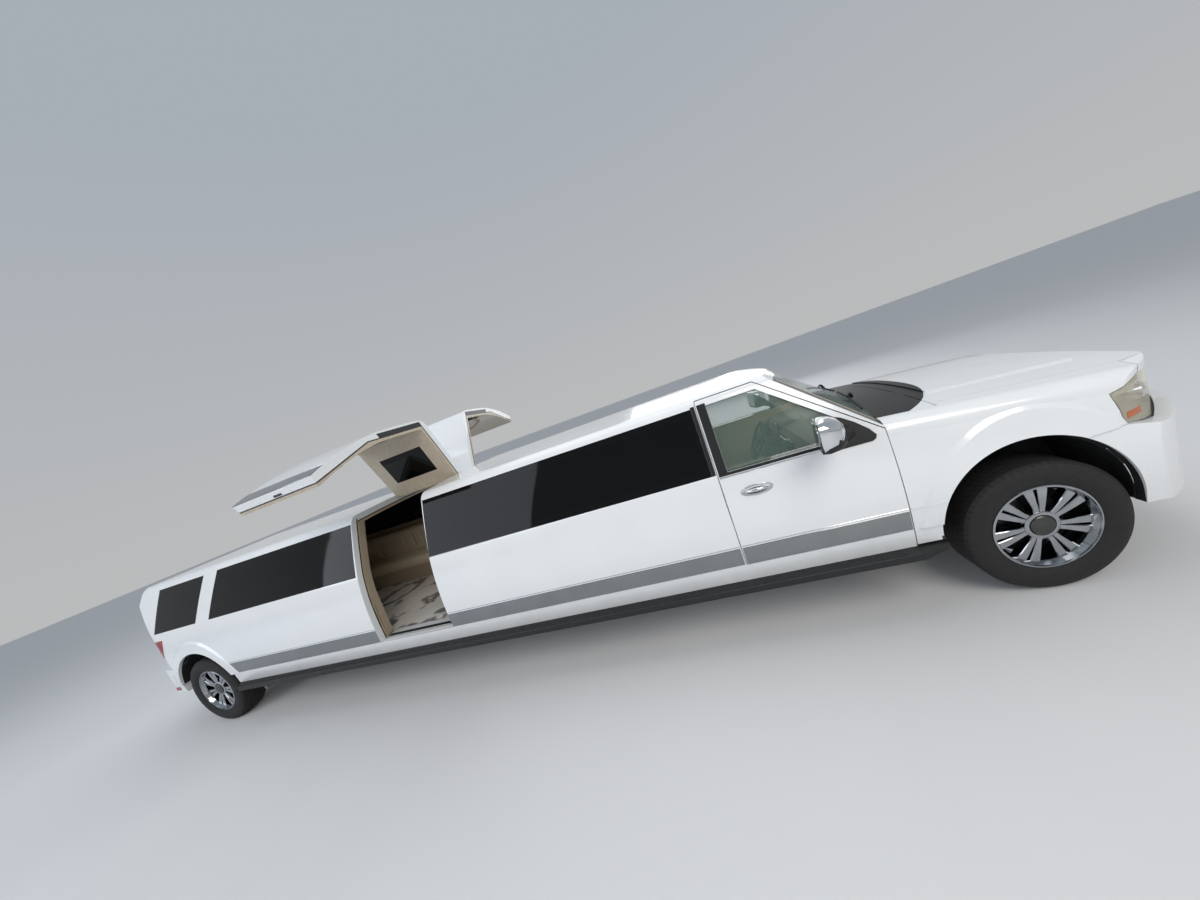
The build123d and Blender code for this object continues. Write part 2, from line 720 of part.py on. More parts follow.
def firewall():
    """The bulkhead with the cowl panel on top, and a hinge post at each end."""
    start, front = (DOOR_FRONT_X + SHUT_GAP, DOOR_FRONT_X + POST_LENGTH)
    edge = HOOD_REAR_X - SHUT_GAP
    block = box(start, edge, -COWL_HALF, COWL_HALF, FLOOR_BOTTOM_Z, FAR)
    for _, sign in SIDES:
        near, far = (sign * HOOD_HINGE[0], sign * HOOD_HINGE[1])
        block = block + box(edge - 1, HOOD_REAR_X - SEAT_GAP, near, far, 1000, FAR)
    body = NOSE & block
    body = body - (nose_form(COWL_SKIN) & box(front, FAR * 3, -1100, 1100, 0, FAR))
    body = body - (screen_crown(0) & box(0, front - BULKHEAD, -POST_Y, POST_Y, 0, FAR))
    inner = nose_form(FENDER_WALL)
    for _, sign in SIDES:
        body = body + (inner & box(start, front, sign * (COWL_HALF - 12), sign * 1100, FLOOR_BOTTOM_Z, FAR))
        for low, high in DOOR_HINGES:
            body = body + (inner & box(DOOR_FRONT_X + SEAT_GAP, start + 1, sign * POST_Y, sign * 1100, low, high))
    return body


def rockers():
    """The convex white sill under each side, from arch to arch."""
    wall = CABIN - cabin_form(WALL)
    pieces = []
    for _, sign in SIDES:
        x1 = FRONT_AXLE_X - FRONT_ARCH_BACK - FRONT_ARCH_RADIUS - 12
        rocker = wall & box(REAR_AXLE_X + ARCH_RADIUS + 12, x1, 0, sign * 1300, ROCKER_Z, SILL_Z)
        rocker = rocker - box(DOOR_FRONT_X, FAR * 3, 0, sign * 1300, 0, FAR)
        pieces.append(rocker)
    return pieces


def floor_pan():
    """The flat floor between the sills, cut away round the rear wheels."""
    floor = CABIN_INNER & box(TAIL_X + 100, DOOR_FRONT_X + 60, -1300, 1300, FLOOR_BOTTOM_Z, FLOOR_Z)
    for _, sign in SIDES:
        floor = floor - box(DOOR_FRONT_X, FAR * 3, sign * POST_Y, sign * 1300, 0, FAR)
        clear = ARCH_RADIUS + LINER + 4
        inner = sign * (WHEELHOUSE_Y - 2)
        floor = floor - box(REAR_AXLE_X - clear, REAR_AXLE_X + clear, inner, sign * 1300, 0, FAR)
    return floor


def roof_spine():
    """The narrow roof beam that carries the hinges of both roof doors."""
    reach = JET_HINGE_Y - SEAT_GAP
    return CABIN_SHELL & box(JET_REAR_X - SHUT_GAP, JET_FRONT_X + SHUT_GAP, -reach, reach, ROOF_SEAM_Z, 2100)


def roof_rear():
    """The rear roof up to the tailgate."""
    return roof_part(TAIL_X - 100, JET_REAR_X - SHUT_GAP)


def jet_hinge(sign):
    """The hinge line of a roof door: y and z at the roof's surface."""
    return (sign * JET_HINGE_Y, ROOF_Z - crown_drop(ROOF_EDGE_Y, ROOF_Z - ROOF_EDGE_Z, JET_HINGE_Y))


def swung(piece, sign):
    """A roof door's piece turned up about its hinge line."""
    y, z = jet_hinge(sign)
    turn = sign * JET_OPEN_ANGLE
    return Pos(0, y, z) * Rot(turn, 0, 0) * Pos(0, -y, -z) * piece


def jet_door(sign):
    """A roof door in one piece: roof, window frame and lower side."""
    edge = JET_REAR_X + JET_REBATE
    rebate = side_prism(
        [(edge, FAR), (edge, ROOF_SEAM_Z), (edge - JET_LEAN, SILL_Z), (edge - 300, SILL_Z), (edge - 300, FAR)],
        0, sign * 1300)
    wall = (CABIN_SHELL & jet_space(sign)) - (cabin_form(JET_FLANGE) & rebate)
    wall = glazed(wall, JET_PANE, sign)
    return swung(wall - jet_inlay(sign), sign)


def jet_inlay(sign):
    """The dark panel let into the lining of the door's roof part."""
    layer = cabin_form(WALL - 8) - CABIN_INNER
    middle = (JET_FRONT_X + JET_REAR_X) / 2
    return layer & box(middle - 270, middle + 270, sign * 260, sign * 560, ROOF_SEAM_Z - 150, 2000)


def jet_glass(sign):
    """The side pane of a roof door and the dark panel in its lining."""
    return [swung(pane(JET_PANE, sign), sign), swung(jet_inlay(sign), sign)]


def door_window():
    """The outline of the front door's window."""
    depth = PILLAR_WIDTH + SHUT_GAP + DOOR_FRAME
    low, high = (BELT_Z + 14, WINDOW_TOP_Z - 6)
    front_low = pillar_line(depth, low + 50)
    return [
        (front_low, low),
        (front_low, low + 50),
        (pillar_line(depth, high), high),
        (DOOR_REAR_X + 75, high),
        (DOOR_REAR_X + 75, low),
    ]


def front_door(sign):
    """A front door as thick as the body side, with its window frame."""
    wall = (CABIN_SHELL & door_space(sign)) - behind_door(sign, SHUT_GAP) - cabin_section(WALL)
    return wall - side_prism(door_window(), sign * 300, sign * 1300)


def front_door_glass(sign):
    """The clear pane of a front door, a little in from the outer face."""
    layer = cabin_form(14) - cabin_form(14 + GLASS)
    return layer & side_prism(door_window(), sign * 300, sign * 1300)


def mirror(sign):
    """A door mirror: its black foot on the sail patch and its wide shell."""
    x = DOOR_FRONT_X - 210
    sail = [
        (x + 150, BELT_Z + 16),
        (x - 190, BELT_Z + 16),
        (x - 150, BELT_Z + 60),
        (x - 20, BELT_Z + 170),
        (x + 20, BELT_Z + 170),
    ]
    window = side_prism(door_window(), sign * 300, sign * 1300)
    patch = (CABIN - cabin_form(14)) & side_prism(sail, sign * 300, sign * 1300) & window
    outer = (cabin_form(-10) - CABIN) & side_prism(sail, sign * 300, sign * 1300)
    arm = side_prism([(x + 60, BELT_Z + 30), (x - 90, BELT_Z + 30), (x - 90, BELT_Z + 80), (x + 60, BELT_Z + 80)],
                     sign * 940, sign * 1110)
    shell_low, shell_high = (BELT_Z - 20, BELT_Z + 175)
    shell = [
        (x + 75, 1090),
        (x + 25, 1085),
        (x - 80, 1080),
        (x - 120, 1115),
        (x - 125, 1320),
        (x - 85, 1345),
        (x + 10, 1330),
        (x + 65, 1250),
    ]
    head = plan_prism([(px, sign * py) for px, py in shell], shell_low, shell_high)
    return patch + outer + (arm - CABIN) + head


def liftgate():
    """The tailgate: its panel, the frame of its window and the recess of the number plate."""
    wall = CABIN_SHELL & gate_space()
    wall = wall - gate_pane()
    wall = wall - gate_window(PANE_MARGIN)
    half_y, half_z = (PLATE_RECESS[0] / 2, PLATE_RECESS[1] / 2)
    wall = wall - box(TAIL_X - 100, PLATE_X, -half_y, half_y, PLATE_Z - half_z, PLATE_Z + half_z)
    for y in (-PLATE_HOLES[0] / 2, PLATE_HOLES[0] / 2):
        for z in (-PLATE_HOLES[1] / 2, PLATE_HOLES[1] / 2):
            hole = Cylinder(PLATE_HOLE_RADIUS, 2 * PLATE_HOLE_DEPTH)
            wall = wall - Pos(PLATE_X, y, PLATE_Z + z) * Rot(0, 90, 0) * hole
    return wall


def gate_window(margin):
    """The opening of the tailgate's window, seen along X."""
    low, high = (BELT_Z + 60 + margin, WINDOW_TOP_Z - 20 - margin)
    half = [(GATE_HALF - 60 - margin, low), (GATE_HALF - 80 - margin, high)]
    steps = half + [(-y, z) for y, z in reversed(half)]
    return end_prism(steps, TAIL_X - 200, GATE_SEAM_X - 60)


def gate_pane():
    """The bonded pane of the tailgate."""
    return CABIN_PANE & gate_window(0)


def rear_bumper():
    """The white rear bumper cover, wrapped round to the arches."""
    inner = cabin_section(WALL) & plan_form(WALL)
    outer = cabin_section(0) & plan_form(-BUMPER_PROUD)
    front, top = (BUMPER_REAR_X - 3, BUMPER_REAR_SEAM_Z - SHUT_GAP)
    cover = (outer - inner) & box(TAIL_X - 200, front, -1300, 1300, BUMPER_REAR_LOW_Z, top)
    for _, sign in SIDES:
        cover = cover + (flare(CABIN_PROUD, REAR_AXLE_X, sign) & box(TAIL_X, front, 0, sign * 1300, 500, top))
    return cover


def running_boards():
    """A black ribbed board under each sill, tapered at its front."""
    pieces = []
    for _, sign in SIDES:
        steps = [
            (BOARD_REAR_X, sign * BOARD_INNER_Y),
            (BOARD_REAR_X, sign * (BOARD_OUTER_Y - 60)),
            (BOARD_REAR_X + 90, sign * BOARD_OUTER_Y),
            (BOARD_FRONT_X - 160, sign * BOARD_OUTER_Y),
            (BOARD_FRONT_X, sign * (BOARD_OUTER_Y - 75)),
            (BOARD_FRONT_X, sign * BOARD_INNER_Y),
        ]
        pieces.append(plan_prism(steps, ROCKER_Z - BOARD_HEIGHT, ROCKER_Z))
    return pieces


def tyre(axle_x, sign):
    """A tyre with a rounded shoulder, turned about its axle."""
    half, bead = (TYRE_WIDTH / 2, RIM_RADIUS)
    profile = [
        (-half + 22, bead),
        ((-half - 2, (bead + TYRE_RADIUS) / 2), (-half + 16, TYRE_RADIUS - 14)),
        (-half + 34, TYRE_RADIUS),
        (half - 34, TYRE_RADIUS),
        (half - 16, TYRE_RADIUS - 14),
        ((half + 2, (bead + TYRE_RADIUS) / 2), (half - 22, bead)),
    ]
    face = face_of(closed(profile), lambda p: (0, p[0], p[1]))
    return Pos(axle_x, sign * WHEEL_Y, TYRE_RADIUS) * revolve(face, Axis.Y)


def rim(axle_x, sign):
    """A wheel with paired flat spokes, a deep barrel and a large plain cap."""
    half = TYRE_WIDTH / 2 - 22
    lip = RIM_RADIUS
    barrel = [
        (-half, lip), (-half, lip - 22), (-half + 60, lip - 34), (half - 30, lip - 30), (half, lip - 14),
        (half, lip), (half - 12, lip), (half - 12, lip - 6), (-half + 12, lip - 6), (-half + 12, lip),
    ]
    face = face_of(closed(barrel), lambda p: (0, p[0], p[1]))
    body = revolve(face, Axis.Y)
    hub = [(RIM_SEAT, 0), (RIM_SEAT, 78), (62, 72), (84, 60), (92, 30), (92, 0)]
    hub_face = face_of(closed(hub), lambda p: (0, p[0], p[1]))
    body = body + revolve(hub_face, Axis.Y)
    spoke_steps = [(RIM_SEAT, 60), (RIM_SEAT, lip - 29), (half - 26, lip - 29), (86, 70)]
    step = 360 / SPOKE_PAIRS
    for index in range(SPOKE_PAIRS):
        for shift in (-9.5, 9.5):
            bar = face_of(closed(spoke_steps), lambda p: (-13, p[0], p[1]))
            bar = extrude(bar, 26, dir=(1, 0, 0))
            body = body + Rot(0, index * step + shift, 0) * bar
    if sign < 0:
        body = mirror_y(body)
    return Pos(axle_x, sign * WHEEL_Y, TYRE_RADIUS) * body


def mirror_y(piece):
    """The mirror image of a piece across the middle plane."""
    return piece.mirror(Plane.XZ)


def knuckle(sign):
    """A steering knuckle: upright, hub and steering arm."""
    x = FRONT_AXLE_X
    inner, outer = (KINGPIN_Y - 40, KINGPIN_Y + 10)
    body = box(x - 32, x + 32, sign * inner, sign * outer, TYRE_RADIUS - KNUCKLE_DOWN, TYRE_RADIUS + KNUCKLE_UP)
    hub_face = WHEEL_Y + RIM_SEAT - SEAT_GAP
    hub_y = (outer - 10 + hub_face) / 2
    body = body + Pos(x, sign * hub_y, TYRE_RADIUS) * Rot(90, 0, 0) * Cylinder(55, hub_face - outer + 10)
    low, high = (TYRE_RADIUS - 85, TYRE_RADIUS - 55)
    return body + box(x - 150, x + 10, sign * (inner - 15), sign * (inner + 30), low, high)


def front_suspension():
    """The cross member, the arms, the dampers and the steering rack."""
    x = FRONT_AXLE_X
    low = TYRE_RADIUS - KNUCKLE_DOWN
    high = TYRE_RADIUS + KNUCKLE_UP
    reach = KINGPIN_Y - 15
    side = RAIL_Y + RAIL_WIDTH / 2
    spring_y = side + SPRING_RADIUS + 8
    body = box(x - 130, x + 130, -side, side, low - 25, low + 25)
    body = body + box(x - 210, x - 120, -side + 20, side - 20, low, low + 50)
    for _, sign in SIDES:
        lower = [
            (x - 150, sign * (side - 60)),
            (x + 150, sign * (side - 60)),
            (x + 28, sign * reach),
            (x - 28, sign * reach),
        ]
        upper = [
            (x - 110, sign * (side - 10)),
            (x + 110, sign * (side - 10)),
            (x + 24, sign * reach),
            (x - 24, sign * reach),
        ]
        body = body + plan_prism(lower, low - 22, low - SEAT_GAP)
        body = body + plan_prism(upper, high + SEAT_GAP, high + 18)
        body = body + Pos(x, sign * spring_y, (low + 640) / 2 - 5) * Cylinder(SPRING_RADIUS, 650 - low)
        body = body + box(x - 110, x + 110, sign * (side - 80), sign * (side + 18), RAIL_HIGH_Z, high + 18)
        body = body + box(x - 60, x + 60, sign * (side - 80), sign * side, low - 25, RAIL_LOW_Z)
        body = body + Pos(x - 165, sign * (side + 50), low + 25) * Rot(90, 0, 0) * Cylinder(20, 140)
    return body


def rear_axle():
    """The rear axle: housing, tubes, hubs and its springs up to the rails."""
    x = REAR_AXLE_X
    z = TYRE_RADIUS
    tube = Pos(x, 0, z) * Rot(90, 0, 0) * Cylinder(45, 2 * WHEEL_Y - 40)
    housing = Pos(x, 0, z) * Sphere(DIFFERENTIAL_RADIUS)
    nose = Pos(x + 130, 0, z - 10) * Rot(0, 90, 0) * Cylinder(60, 170)
    body = tube + housing + nose
    for _, sign in SIDES:
        flange = Pos(x, sign * (WHEEL_Y + RIM_SEAT - SEAT_GAP - 40), z) * Rot(90, 0, 0) * Cylinder(75, 80)
        seat = RAIL_LOW_Z + RAIL_RISE - z
        spring = Pos(x, sign * RAIL_Y, z + seat / 2) * Cylinder(38, seat)
        body = body + flange + spring
    return body


def rail(sign):
    """One frame rail, raised over the rear axle."""
    x0, x1 = (TAIL_X + 160, NOSE_X - 120)
    high, low = (RAIL_HIGH_Z, RAIL_LOW_Z)
    steps = [
        (x0, low + 60), (x0, high - 10), (REAR_AXLE_X - 500, high - 10),
        (REAR_AXLE_X - 300, FLOOR_BOTTOM_Z - 2), (REAR_AXLE_X + 300, FLOOR_BOTTOM_Z - 2), (REAR_AXLE_X + 480, high),
        (x1, high), (x1, low + 60), (FRONT_AXLE_X + 600, low + 60), (FRONT_AXLE_X + 350, low),
        (REAR_AXLE_X + 650, low), (REAR_AXLE_X + 300, low + RAIL_RISE), (REAR_AXLE_X - 300, low + RAIL_RISE),
        (REAR_AXLE_X - 560, low + 60),
    ]
    y = sign * RAIL_Y
    return side_prism(steps, y - RAIL_WIDTH / 2, y + RAIL_WIDTH / 2)


def cross_places():
    """Where the cross members lie along the frame."""
    first, last = (FRONT_AXLE_X - 960, REAR_AXLE_X + 620)
    step = (last - first) / (CROSS_COUNT - 1)
    return [first + step * index for index in range(CROSS_COUNT)]


def chassis_frame():
    """Two rails joined by cross members, with body mounts up to the floor."""
    frame = rail(-1) + rail(1)
    side = RAIL_Y + RAIL_WIDTH / 2
    low = RAIL_HIGH_Z - CROSS_HEIGHT
    for x in cross_places():
        frame = frame + box(x - 40, x + 40, -side + 1, side - 1, low, RAIL_HIGH_Z)
        for _, sign in SIDES:
            reach = sign * OUTRIGGER_Y
            frame = frame + box(x - 35, x + 35, sign * (side - 1), reach, low, RAIL_HIGH_Z)
            arm_inner, arm_outer = (reach - sign * 80, reach - sign * 10)
            frame = frame + box(x - 30, x + 30, arm_inner, arm_outer, RAIL_HIGH_Z - 1, FLOOR_BOTTOM_Z)
    frame = frame + box(NOSE_X - 200, NOSE_X - 120, -side, side, RAIL_LOW_Z + 60, RAIL_HIGH_Z)
    frame = frame + box(TAIL_X + 160, TAIL_X + 230, -side, side, RAIL_LOW_Z + 60, RAIL_HIGH_Z - 10)
    front = nose_form(FENDER_WALL, FRONT_PROUD)
    rear = plan_form(WALL)
    for _, sign in SIDES:
        inner, outer = (sign * (side - 60), sign * (side - 10))
        frame = frame + (front & box(NOSE_X - 130, NOSE_X + 200, inner, outer, RAIL_LOW_Z + 70, RAIL_HIGH_Z - 10))
        frame = frame + (rear & box(TAIL_X - 200, TAIL_X + 170, inner, outer, BUMPER_REAR_LOW_Z, RAIL_HIGH_Z - 12))
    return frame + hitch()


def hitch():
    """The square receiver tube of the tow hitch, with the hole of its pin."""
    half, hole = (HITCH_OUTER / 2, HITCH_INNER / 2)
    rear, front = (HITCH_MOUTH_X, HITCH_MOUTH_X + HITCH_LENGTH)
    tube = box(rear, front, -half, half, HITCH_Z - half, HITCH_Z + half)
    tube = tube - box(rear - 1, front + 1, -hole, hole, HITCH_Z - hole, HITCH_Z + hole)
    return tube - Pos(HITCH_PIN_X, 0, HITCH_Z) * Rot(90, 0, 0) * Cylinder(HITCH_PIN_RADIUS, 2 * HITCH_OUTER)


def propshaft():
    """The long drive line with two centre bearings."""
    x0, x1 = (REAR_AXLE_X + 215, FRONT_AXLE_X - GEARBOX_REAR)
    shaft = Pos((x0 + x1) / 2, 0, PROP_Z) * Rot(0, 90, 0) * Cylinder(PROP_RADIUS, x1 - x0)
    for x in cross_places()[2::3]:
        shaft = shaft + box(x - 30, x + 30, -90, 90, PROP_Z - 60, RAIL_HIGH_Z - CROSS_HEIGHT)
    return shaft


def engine_block():
    """Engine and gearbox as one plain mass."""
    x = FRONT_AXLE_X
    low = RAIL_HIGH_Z - 60
    engine = box(x - 380, x + 330, -330, 330, low, ENGINE_TOP_Z)
    gearbox = box(x - GEARBOX_REAR, x - 379, -180, 180, PROP_Z - 55, FLOOR_BOTTOM_Z - 8)
    reach = RAIL_Y - RAIL_WIDTH / 2
    return engine + gearbox + box(x - 60, x + 60, -reach, reach, low, RAIL_HIGH_Z)


def radiator():
    """The radiator and its upright support behind the grille."""
    x = NOSE_X - 230
    body = box(x, x + 55, -GRILLE_HALF, GRILLE_HALF, RAIL_HIGH_Z, HOOD_LIP_Z - 45)
    top = LAMP_LOW_Z - SEAT_GAP
    for _, sign in SIDES:
        body = body + box(x, x + 95, sign * (GRILLE_HALF - 1), sign * (GRILLE_HALF + 90), top - 30, top)
    return body


def exhaust():
    """One pipe with a silencer and an outlet under the right sill."""
    radius = 35
    y, z = (-250, 400)
    x1 = FRONT_AXLE_X - 560
    x0 = REAR_AXLE_X + 1100
    body = Pos((x0 + x1) / 2, y, z) * Rot(0, 90, 0) * Cylinder(radius, x1 - x0)
    body = body + box(x0 - 650, x0 + 1, y - 120, y + 120, z - 80, z + 40)
    outlet_y = -BOARD_OUTER_Y + 120
    body = body + Pos(x0 - 320, (y - 100 + outlet_y) / 2, z - 78) * Rot(90, 0, 0) * Cylinder(28, y - 100 - outlet_y)
    for x in cross_places()[1:-1:2]:
        body = body + box(x - 15, x + 15, y - 12, y + 12, z + 30, RAIL_HIGH_Z - CROSS_HEIGHT)
    return body


def fuel_tank():
    """The fuel tank between the left rail and the drive line."""
    x = REAR_AXLE_X + 2450
    return box(x - 900, x, 90, RAIL_Y - RAIL_WIDTH / 2, 280, 440)


def dashboard():
    """The dashboard across the front of the driver's cabin."""
    x = DOOR_FRONT_X
    front = x + POST_LENGTH - BULKHEAD
    steps = [
        (front, 1180), (x - 120, 1195), (x - 330, 1170), (x - 390, 1110),
        (x - 360, 960), (x - 220, 820), (front, 760),
    ]
    body = cabin_form(WALL + 12) & side_prism(steps, -1300, 1300)
    for _, sign in SIDES:
        body = body - box(x - 2, FAR * 3, sign * POST_Y, sign * 1300, 0, FAR)
    return body


def steering_wheel():
    """The steering wheel on its column, on the left."""
    x, y, z = (DOOR_FRONT_X - 560, 390, 1080)
    spokes = Box(350, 36, 12) + Box(36, 350, 12)
    wheel = Torus(185, 15) + Cylinder(55, 40) + spokes
    column = Pos(0, 0, -140) * Cylinder(26, 280)
    return Pos(x, y, z) * Rot(0, -62, 0) * (wheel + column) - dashboard()


def front_seats():
    """Two front seats: cushion, back and head restraint on a base."""
    seats = []
    x = DOOR_REAR_X + 20
    for _, sign in SIDES:
        y = sign * 400
        base = box(x + 20, x + 460, y - 200, y + 200, FLOOR_Z, 700)
        cushion = box(x, x + 500, y - 260, y + 260, 700, 850)
        back = side_prism([(x + 60, 860), (x - 110, 1420), (x - 230, 1400), (x - 90, 800)], y - 250, y + 250)
        rest = side_prism([(x - 125, 1440), (x - 150, 1600), (x - 230, 1590), (x - 215, 1425)], y - 130, y + 130)
        posts = side_prism([(x - 150, 1380), (x - 165, 1480), (x - 190, 1480), (x - 180, 1380)], y - 60, y + 60)
        seats.append(base + cushion + back + rest + posts)
    return seats


def partition():
    """The wall between driver and passengers, with its pass-through."""
    x = DOOR_REAR_X - 420
    wall = cabin_form(WALL + SEAT_GAP) & box(x - 50, x, -1300, 1300, FLOOR_Z, FAR)
    return wall - box(x - 100, x + 100, -500, 500, 1250, 1600)


def passenger_bench():
    """A side bench ahead of the doorway, and a corner bench behind it."""
    inner = cabin_form(WALL + SOFT_GAP)
    low = FLOOR_Z + SOFT_GAP
    front = DOOR_REAR_X - 700
    ahead = (front, JET_FRONT_X + 260)
    behind = (JET_REAR_X - 330, REAR_AXLE_X + 520)
    pieces = []
    for x1, x0 in (ahead, behind):
        seat = inner & box(x0, x1, BENCH_Y, 1300, low, BENCH_SEAT_Z)
        pieces.append(seat + (inner & box(x0, x1, BENCH_BACK_Y, 1300, BENCH_SEAT_Z - 1, BENCH_BACK_Z)))
    rear_x = behind[1]
    seat = inner & box(rear_x, rear_x + 640, -1300, 1300, low, BENCH_SEAT_Z)
    back = inner & box(rear_x, rear_x + 190, -1300, 1300, BENCH_SEAT_Z - 1, BENCH_BACK_Z)
    pieces[1] = pieces[1] + seat + back
    return pieces


def bar_cabinet():
    """The bar along the right wall ahead of the doorway."""
    inner = cabin_form(WALL)
    x0, x1 = (JET_FRONT_X + 300, DOOR_REAR_X - 900)
    body = inner & box(x0, x1, -1300, -560, FLOOR_Z, 1000)
    return body + (inner & box(x0, x1, -1300, -520, 999, 1035))


def export_all(pieces):
    """Writes each piece to its own file."""
    for name, piece in pieces.items():
        solids = piece if isinstance(piece, list) else [piece]
        flat = [solid for item in solids for solid in item.solids()]
        shape = flat[0] if len(flat) == 1 else Compound(children=flat)
        export_step(shape, f"parts/{name}.step")


def main():
    """Builds every piece and writes it."""
    os.makedirs("parts", exist_ok=True)
    pieces = {
        "chassis_frame": chassis_frame(),
        "floor_pan": floor_pan(),
        "firewall": firewall(),
        "roof_front": roof_front(),
        "roof_spine": roof_spine(),
        "roof_rear": roof_rear(),
        "windscreen": windscreen(),
        "front_bumper": front_bumper(),
        "grille": grille(),
        "radiator": radiator(),
        "rear_bumper": rear_bumper(),
        "headlamps": headlamps(),
        "tail_lamps": tail_lamps(),
        "side_glass": [pane(outline, sign) for outline in FIXED_PANES for _, sign in SIDES],
        "rockers": rockers(),
        "running_boards": running_boards(),
        "engine_block": engine_block(),
        "front_suspension": front_suspension(),
        "rear_axle": rear_axle(),
        "propshaft": propshaft(),
        "exhaust": exhaust(),
        "fuel_tank": fuel_tank(),
        "dashboard": dashboard(),
        "steering_wheel": steering_wheel(),
        "front_seats": front_seats(),
        "partition": partition(),
        "passenger_bench": passenger_bench(),
        "bar_cabinet": bar_cabinet(),
        "hood": hood(),
        "liftgate": liftgate(),
        "liftgate_glass": gate_pane(),
    }
    for side, sign in SIDES:
        pieces[f"side_mid_{side}"] = side_mid(sign)
        pieces[f"side_rear_{side}"] = side_rear(sign)
        pieces[f"fender_{side}"] = fender(sign)
        pieces[f"front_door_{side}"] = front_door(sign)
        pieces[f"front_door_glass_{side}"] = front_door_glass(sign)
        pieces[f"mirror_{side}"] = mirror(sign)
        pieces[f"jet_door_{side}"] = jet_door(sign)
        pieces[f"jet_glass_{side}"] = jet_glass(sign)
        pieces[f"knuckle_{side}"] = knuckle(sign)
        for end, axle_x in (("front", FRONT_AXLE_X), ("rear", REAR_AXLE_X)):
            pieces[f"wheel_{end}_{side}"] = rim(axle_x, sign)
            pieces[f"tyre_{end}_{side}"] = tyre(axle_x, sign)
    export_all(pieces)


main()
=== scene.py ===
# %% [markdown]
# # A long white limousine with roof-hinged doors
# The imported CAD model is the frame: every panel, pane and wheel already stands in its place, in metres.
# This file dresses it. It gives each CAD node a material made of nodes, adds the thin trim, the wheel
# faces, the lamps and the soft seats, and sets up a pale studio with the camera of the photograph.
# The vehicle points along +X, its left side is +Y, and the ground is at Z 0.
# A piece rides on a body, such as a door or a wheel, so that it moves with it at every pose.

# %% Load the frame
import math

import bmesh
import bpy
from mathutils import Matrix, Vector
from mathutils.bvhtree import BVHTree


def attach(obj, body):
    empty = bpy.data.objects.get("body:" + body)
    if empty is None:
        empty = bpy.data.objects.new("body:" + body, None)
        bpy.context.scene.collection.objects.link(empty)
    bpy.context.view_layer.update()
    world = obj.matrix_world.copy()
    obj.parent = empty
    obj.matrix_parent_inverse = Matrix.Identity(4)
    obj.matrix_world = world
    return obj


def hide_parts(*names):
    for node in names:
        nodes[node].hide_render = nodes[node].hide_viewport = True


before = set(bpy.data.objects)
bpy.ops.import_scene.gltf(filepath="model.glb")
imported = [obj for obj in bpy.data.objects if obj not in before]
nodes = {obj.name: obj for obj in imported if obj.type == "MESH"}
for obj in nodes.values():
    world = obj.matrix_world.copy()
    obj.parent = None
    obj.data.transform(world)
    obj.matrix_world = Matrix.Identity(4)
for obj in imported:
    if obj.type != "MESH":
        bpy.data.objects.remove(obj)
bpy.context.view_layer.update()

# %% [markdown]
# ## Sizes
# On the real vehicle all panels of the side share one curved section, and the thin trim follows it.
# Trim could be cast onto each panel with rays, but a section written once, as two arcs seen from the end,
# gives smooth bands across several panels. The names are those of the CAD source.

# %% Sizes of the body
FRONT_AXLE_X, REAR_AXLE_X = 3.975, -3.825
WHEEL_Y, WHEEL_Z = 0.852, 0.405
FRONT_ARCH = (FRONT_AXLE_X - 0.035, 0.505, 0.475)
REAR_ARCH = (REAR_AXLE_X, 0.470, 0.465)
BELT_Z, BELT_Y = 1.237, 0.958
WINDOW_TOP_Z, WINDOW_TOP_Y = 1.726, 0.800
SILL_Z, ROOF_SEAM_Z, ROOF_Z = 0.578, 1.772, 1.805
DOOR_FRONT_X, DOOR_REAR_X = 3.315, 2.285
JET_FRONT_X, JET_REAR_X, JET_LEAN = -0.215, -1.065, 0.070
JET_HINGE_Y, JET_HINGE_Z, JET_OPEN = 0.100, 1.80473, math.radians(70)
TAIL_X = -4.925
SIDES = {"left": 1, "right": -1}
SIDE_LOW = ((0.985, 0.520), (1.000, 0.870), (BELT_Y, BELT_Z))
SIDE_HIGH = ((BELT_Y, BELT_Z), (0.885, 1.4815), (WINDOW_TOP_Y, WINDOW_TOP_Z))


def arc_half_width(arc, z):
    """The half width at height z on the arc through three (y, z) points."""
    (ay, az), (by, bz), (cy, cz) = arc
    d = 2 * (ay * (bz - cz) + by * (cz - az) + cy * (az - bz))
    a, b, c = (ay * ay + az * az, by * by + bz * bz, cy * cy + cz * cz)
    uy = (a * (bz - cz) + b * (cz - az) + c * (az - bz)) / d
    uz = (a * (cy - by) + b * (ay - cy) + c * (by - ay)) / d
    radius = math.dist((ay, az), (uy, uz))
    return uy + math.sqrt(radius * radius - (z - uz) ** 2)


def side_y(z):
    """The half width of the cabin's outer face at height z."""
    return arc_half_width(SIDE_LOW if z < BELT_Z else SIDE_HIGH, z)


def side_point(x, z, out, sign):
    """A point of the side, moved square off the surface by out."""
    step = 0.002
    slope = (side_y(z + step) - side_y(z - step)) / (2 * step)
    length = math.hypot(1, slope)
    return Vector((x, sign * (side_y(z) + out / length), z - out * slope / length))


print("half width at the belt", round(side_y(BELT_Z), 3))

# %% [markdown]
# ## Materials
# Real finishes are never one flat colour: paint has dust in it, and rubber and leather have grain.
# An image could carry that, but nodes stay sharp at any distance and need no file. One function adds any node,
# sets it up and joins its inputs. The others work through the steps of a formula, copy a finish, feed its
# shader, or cover it with a colour where a mask says so.


# %% Node helpers
MATH, MIX = "ShaderNodeMath", "ShaderNodeMix"


def srgb(code, alpha=1.0):
    """A hex colour as linear light."""
    values = [int(code[i:i + 2], 16) / 255 for i in (1, 3, 5)]
    return (*[v / 12.92 if v <= 0.04045 else ((v + 0.055) / 1.055) ** 2.4 for v in values], alpha)


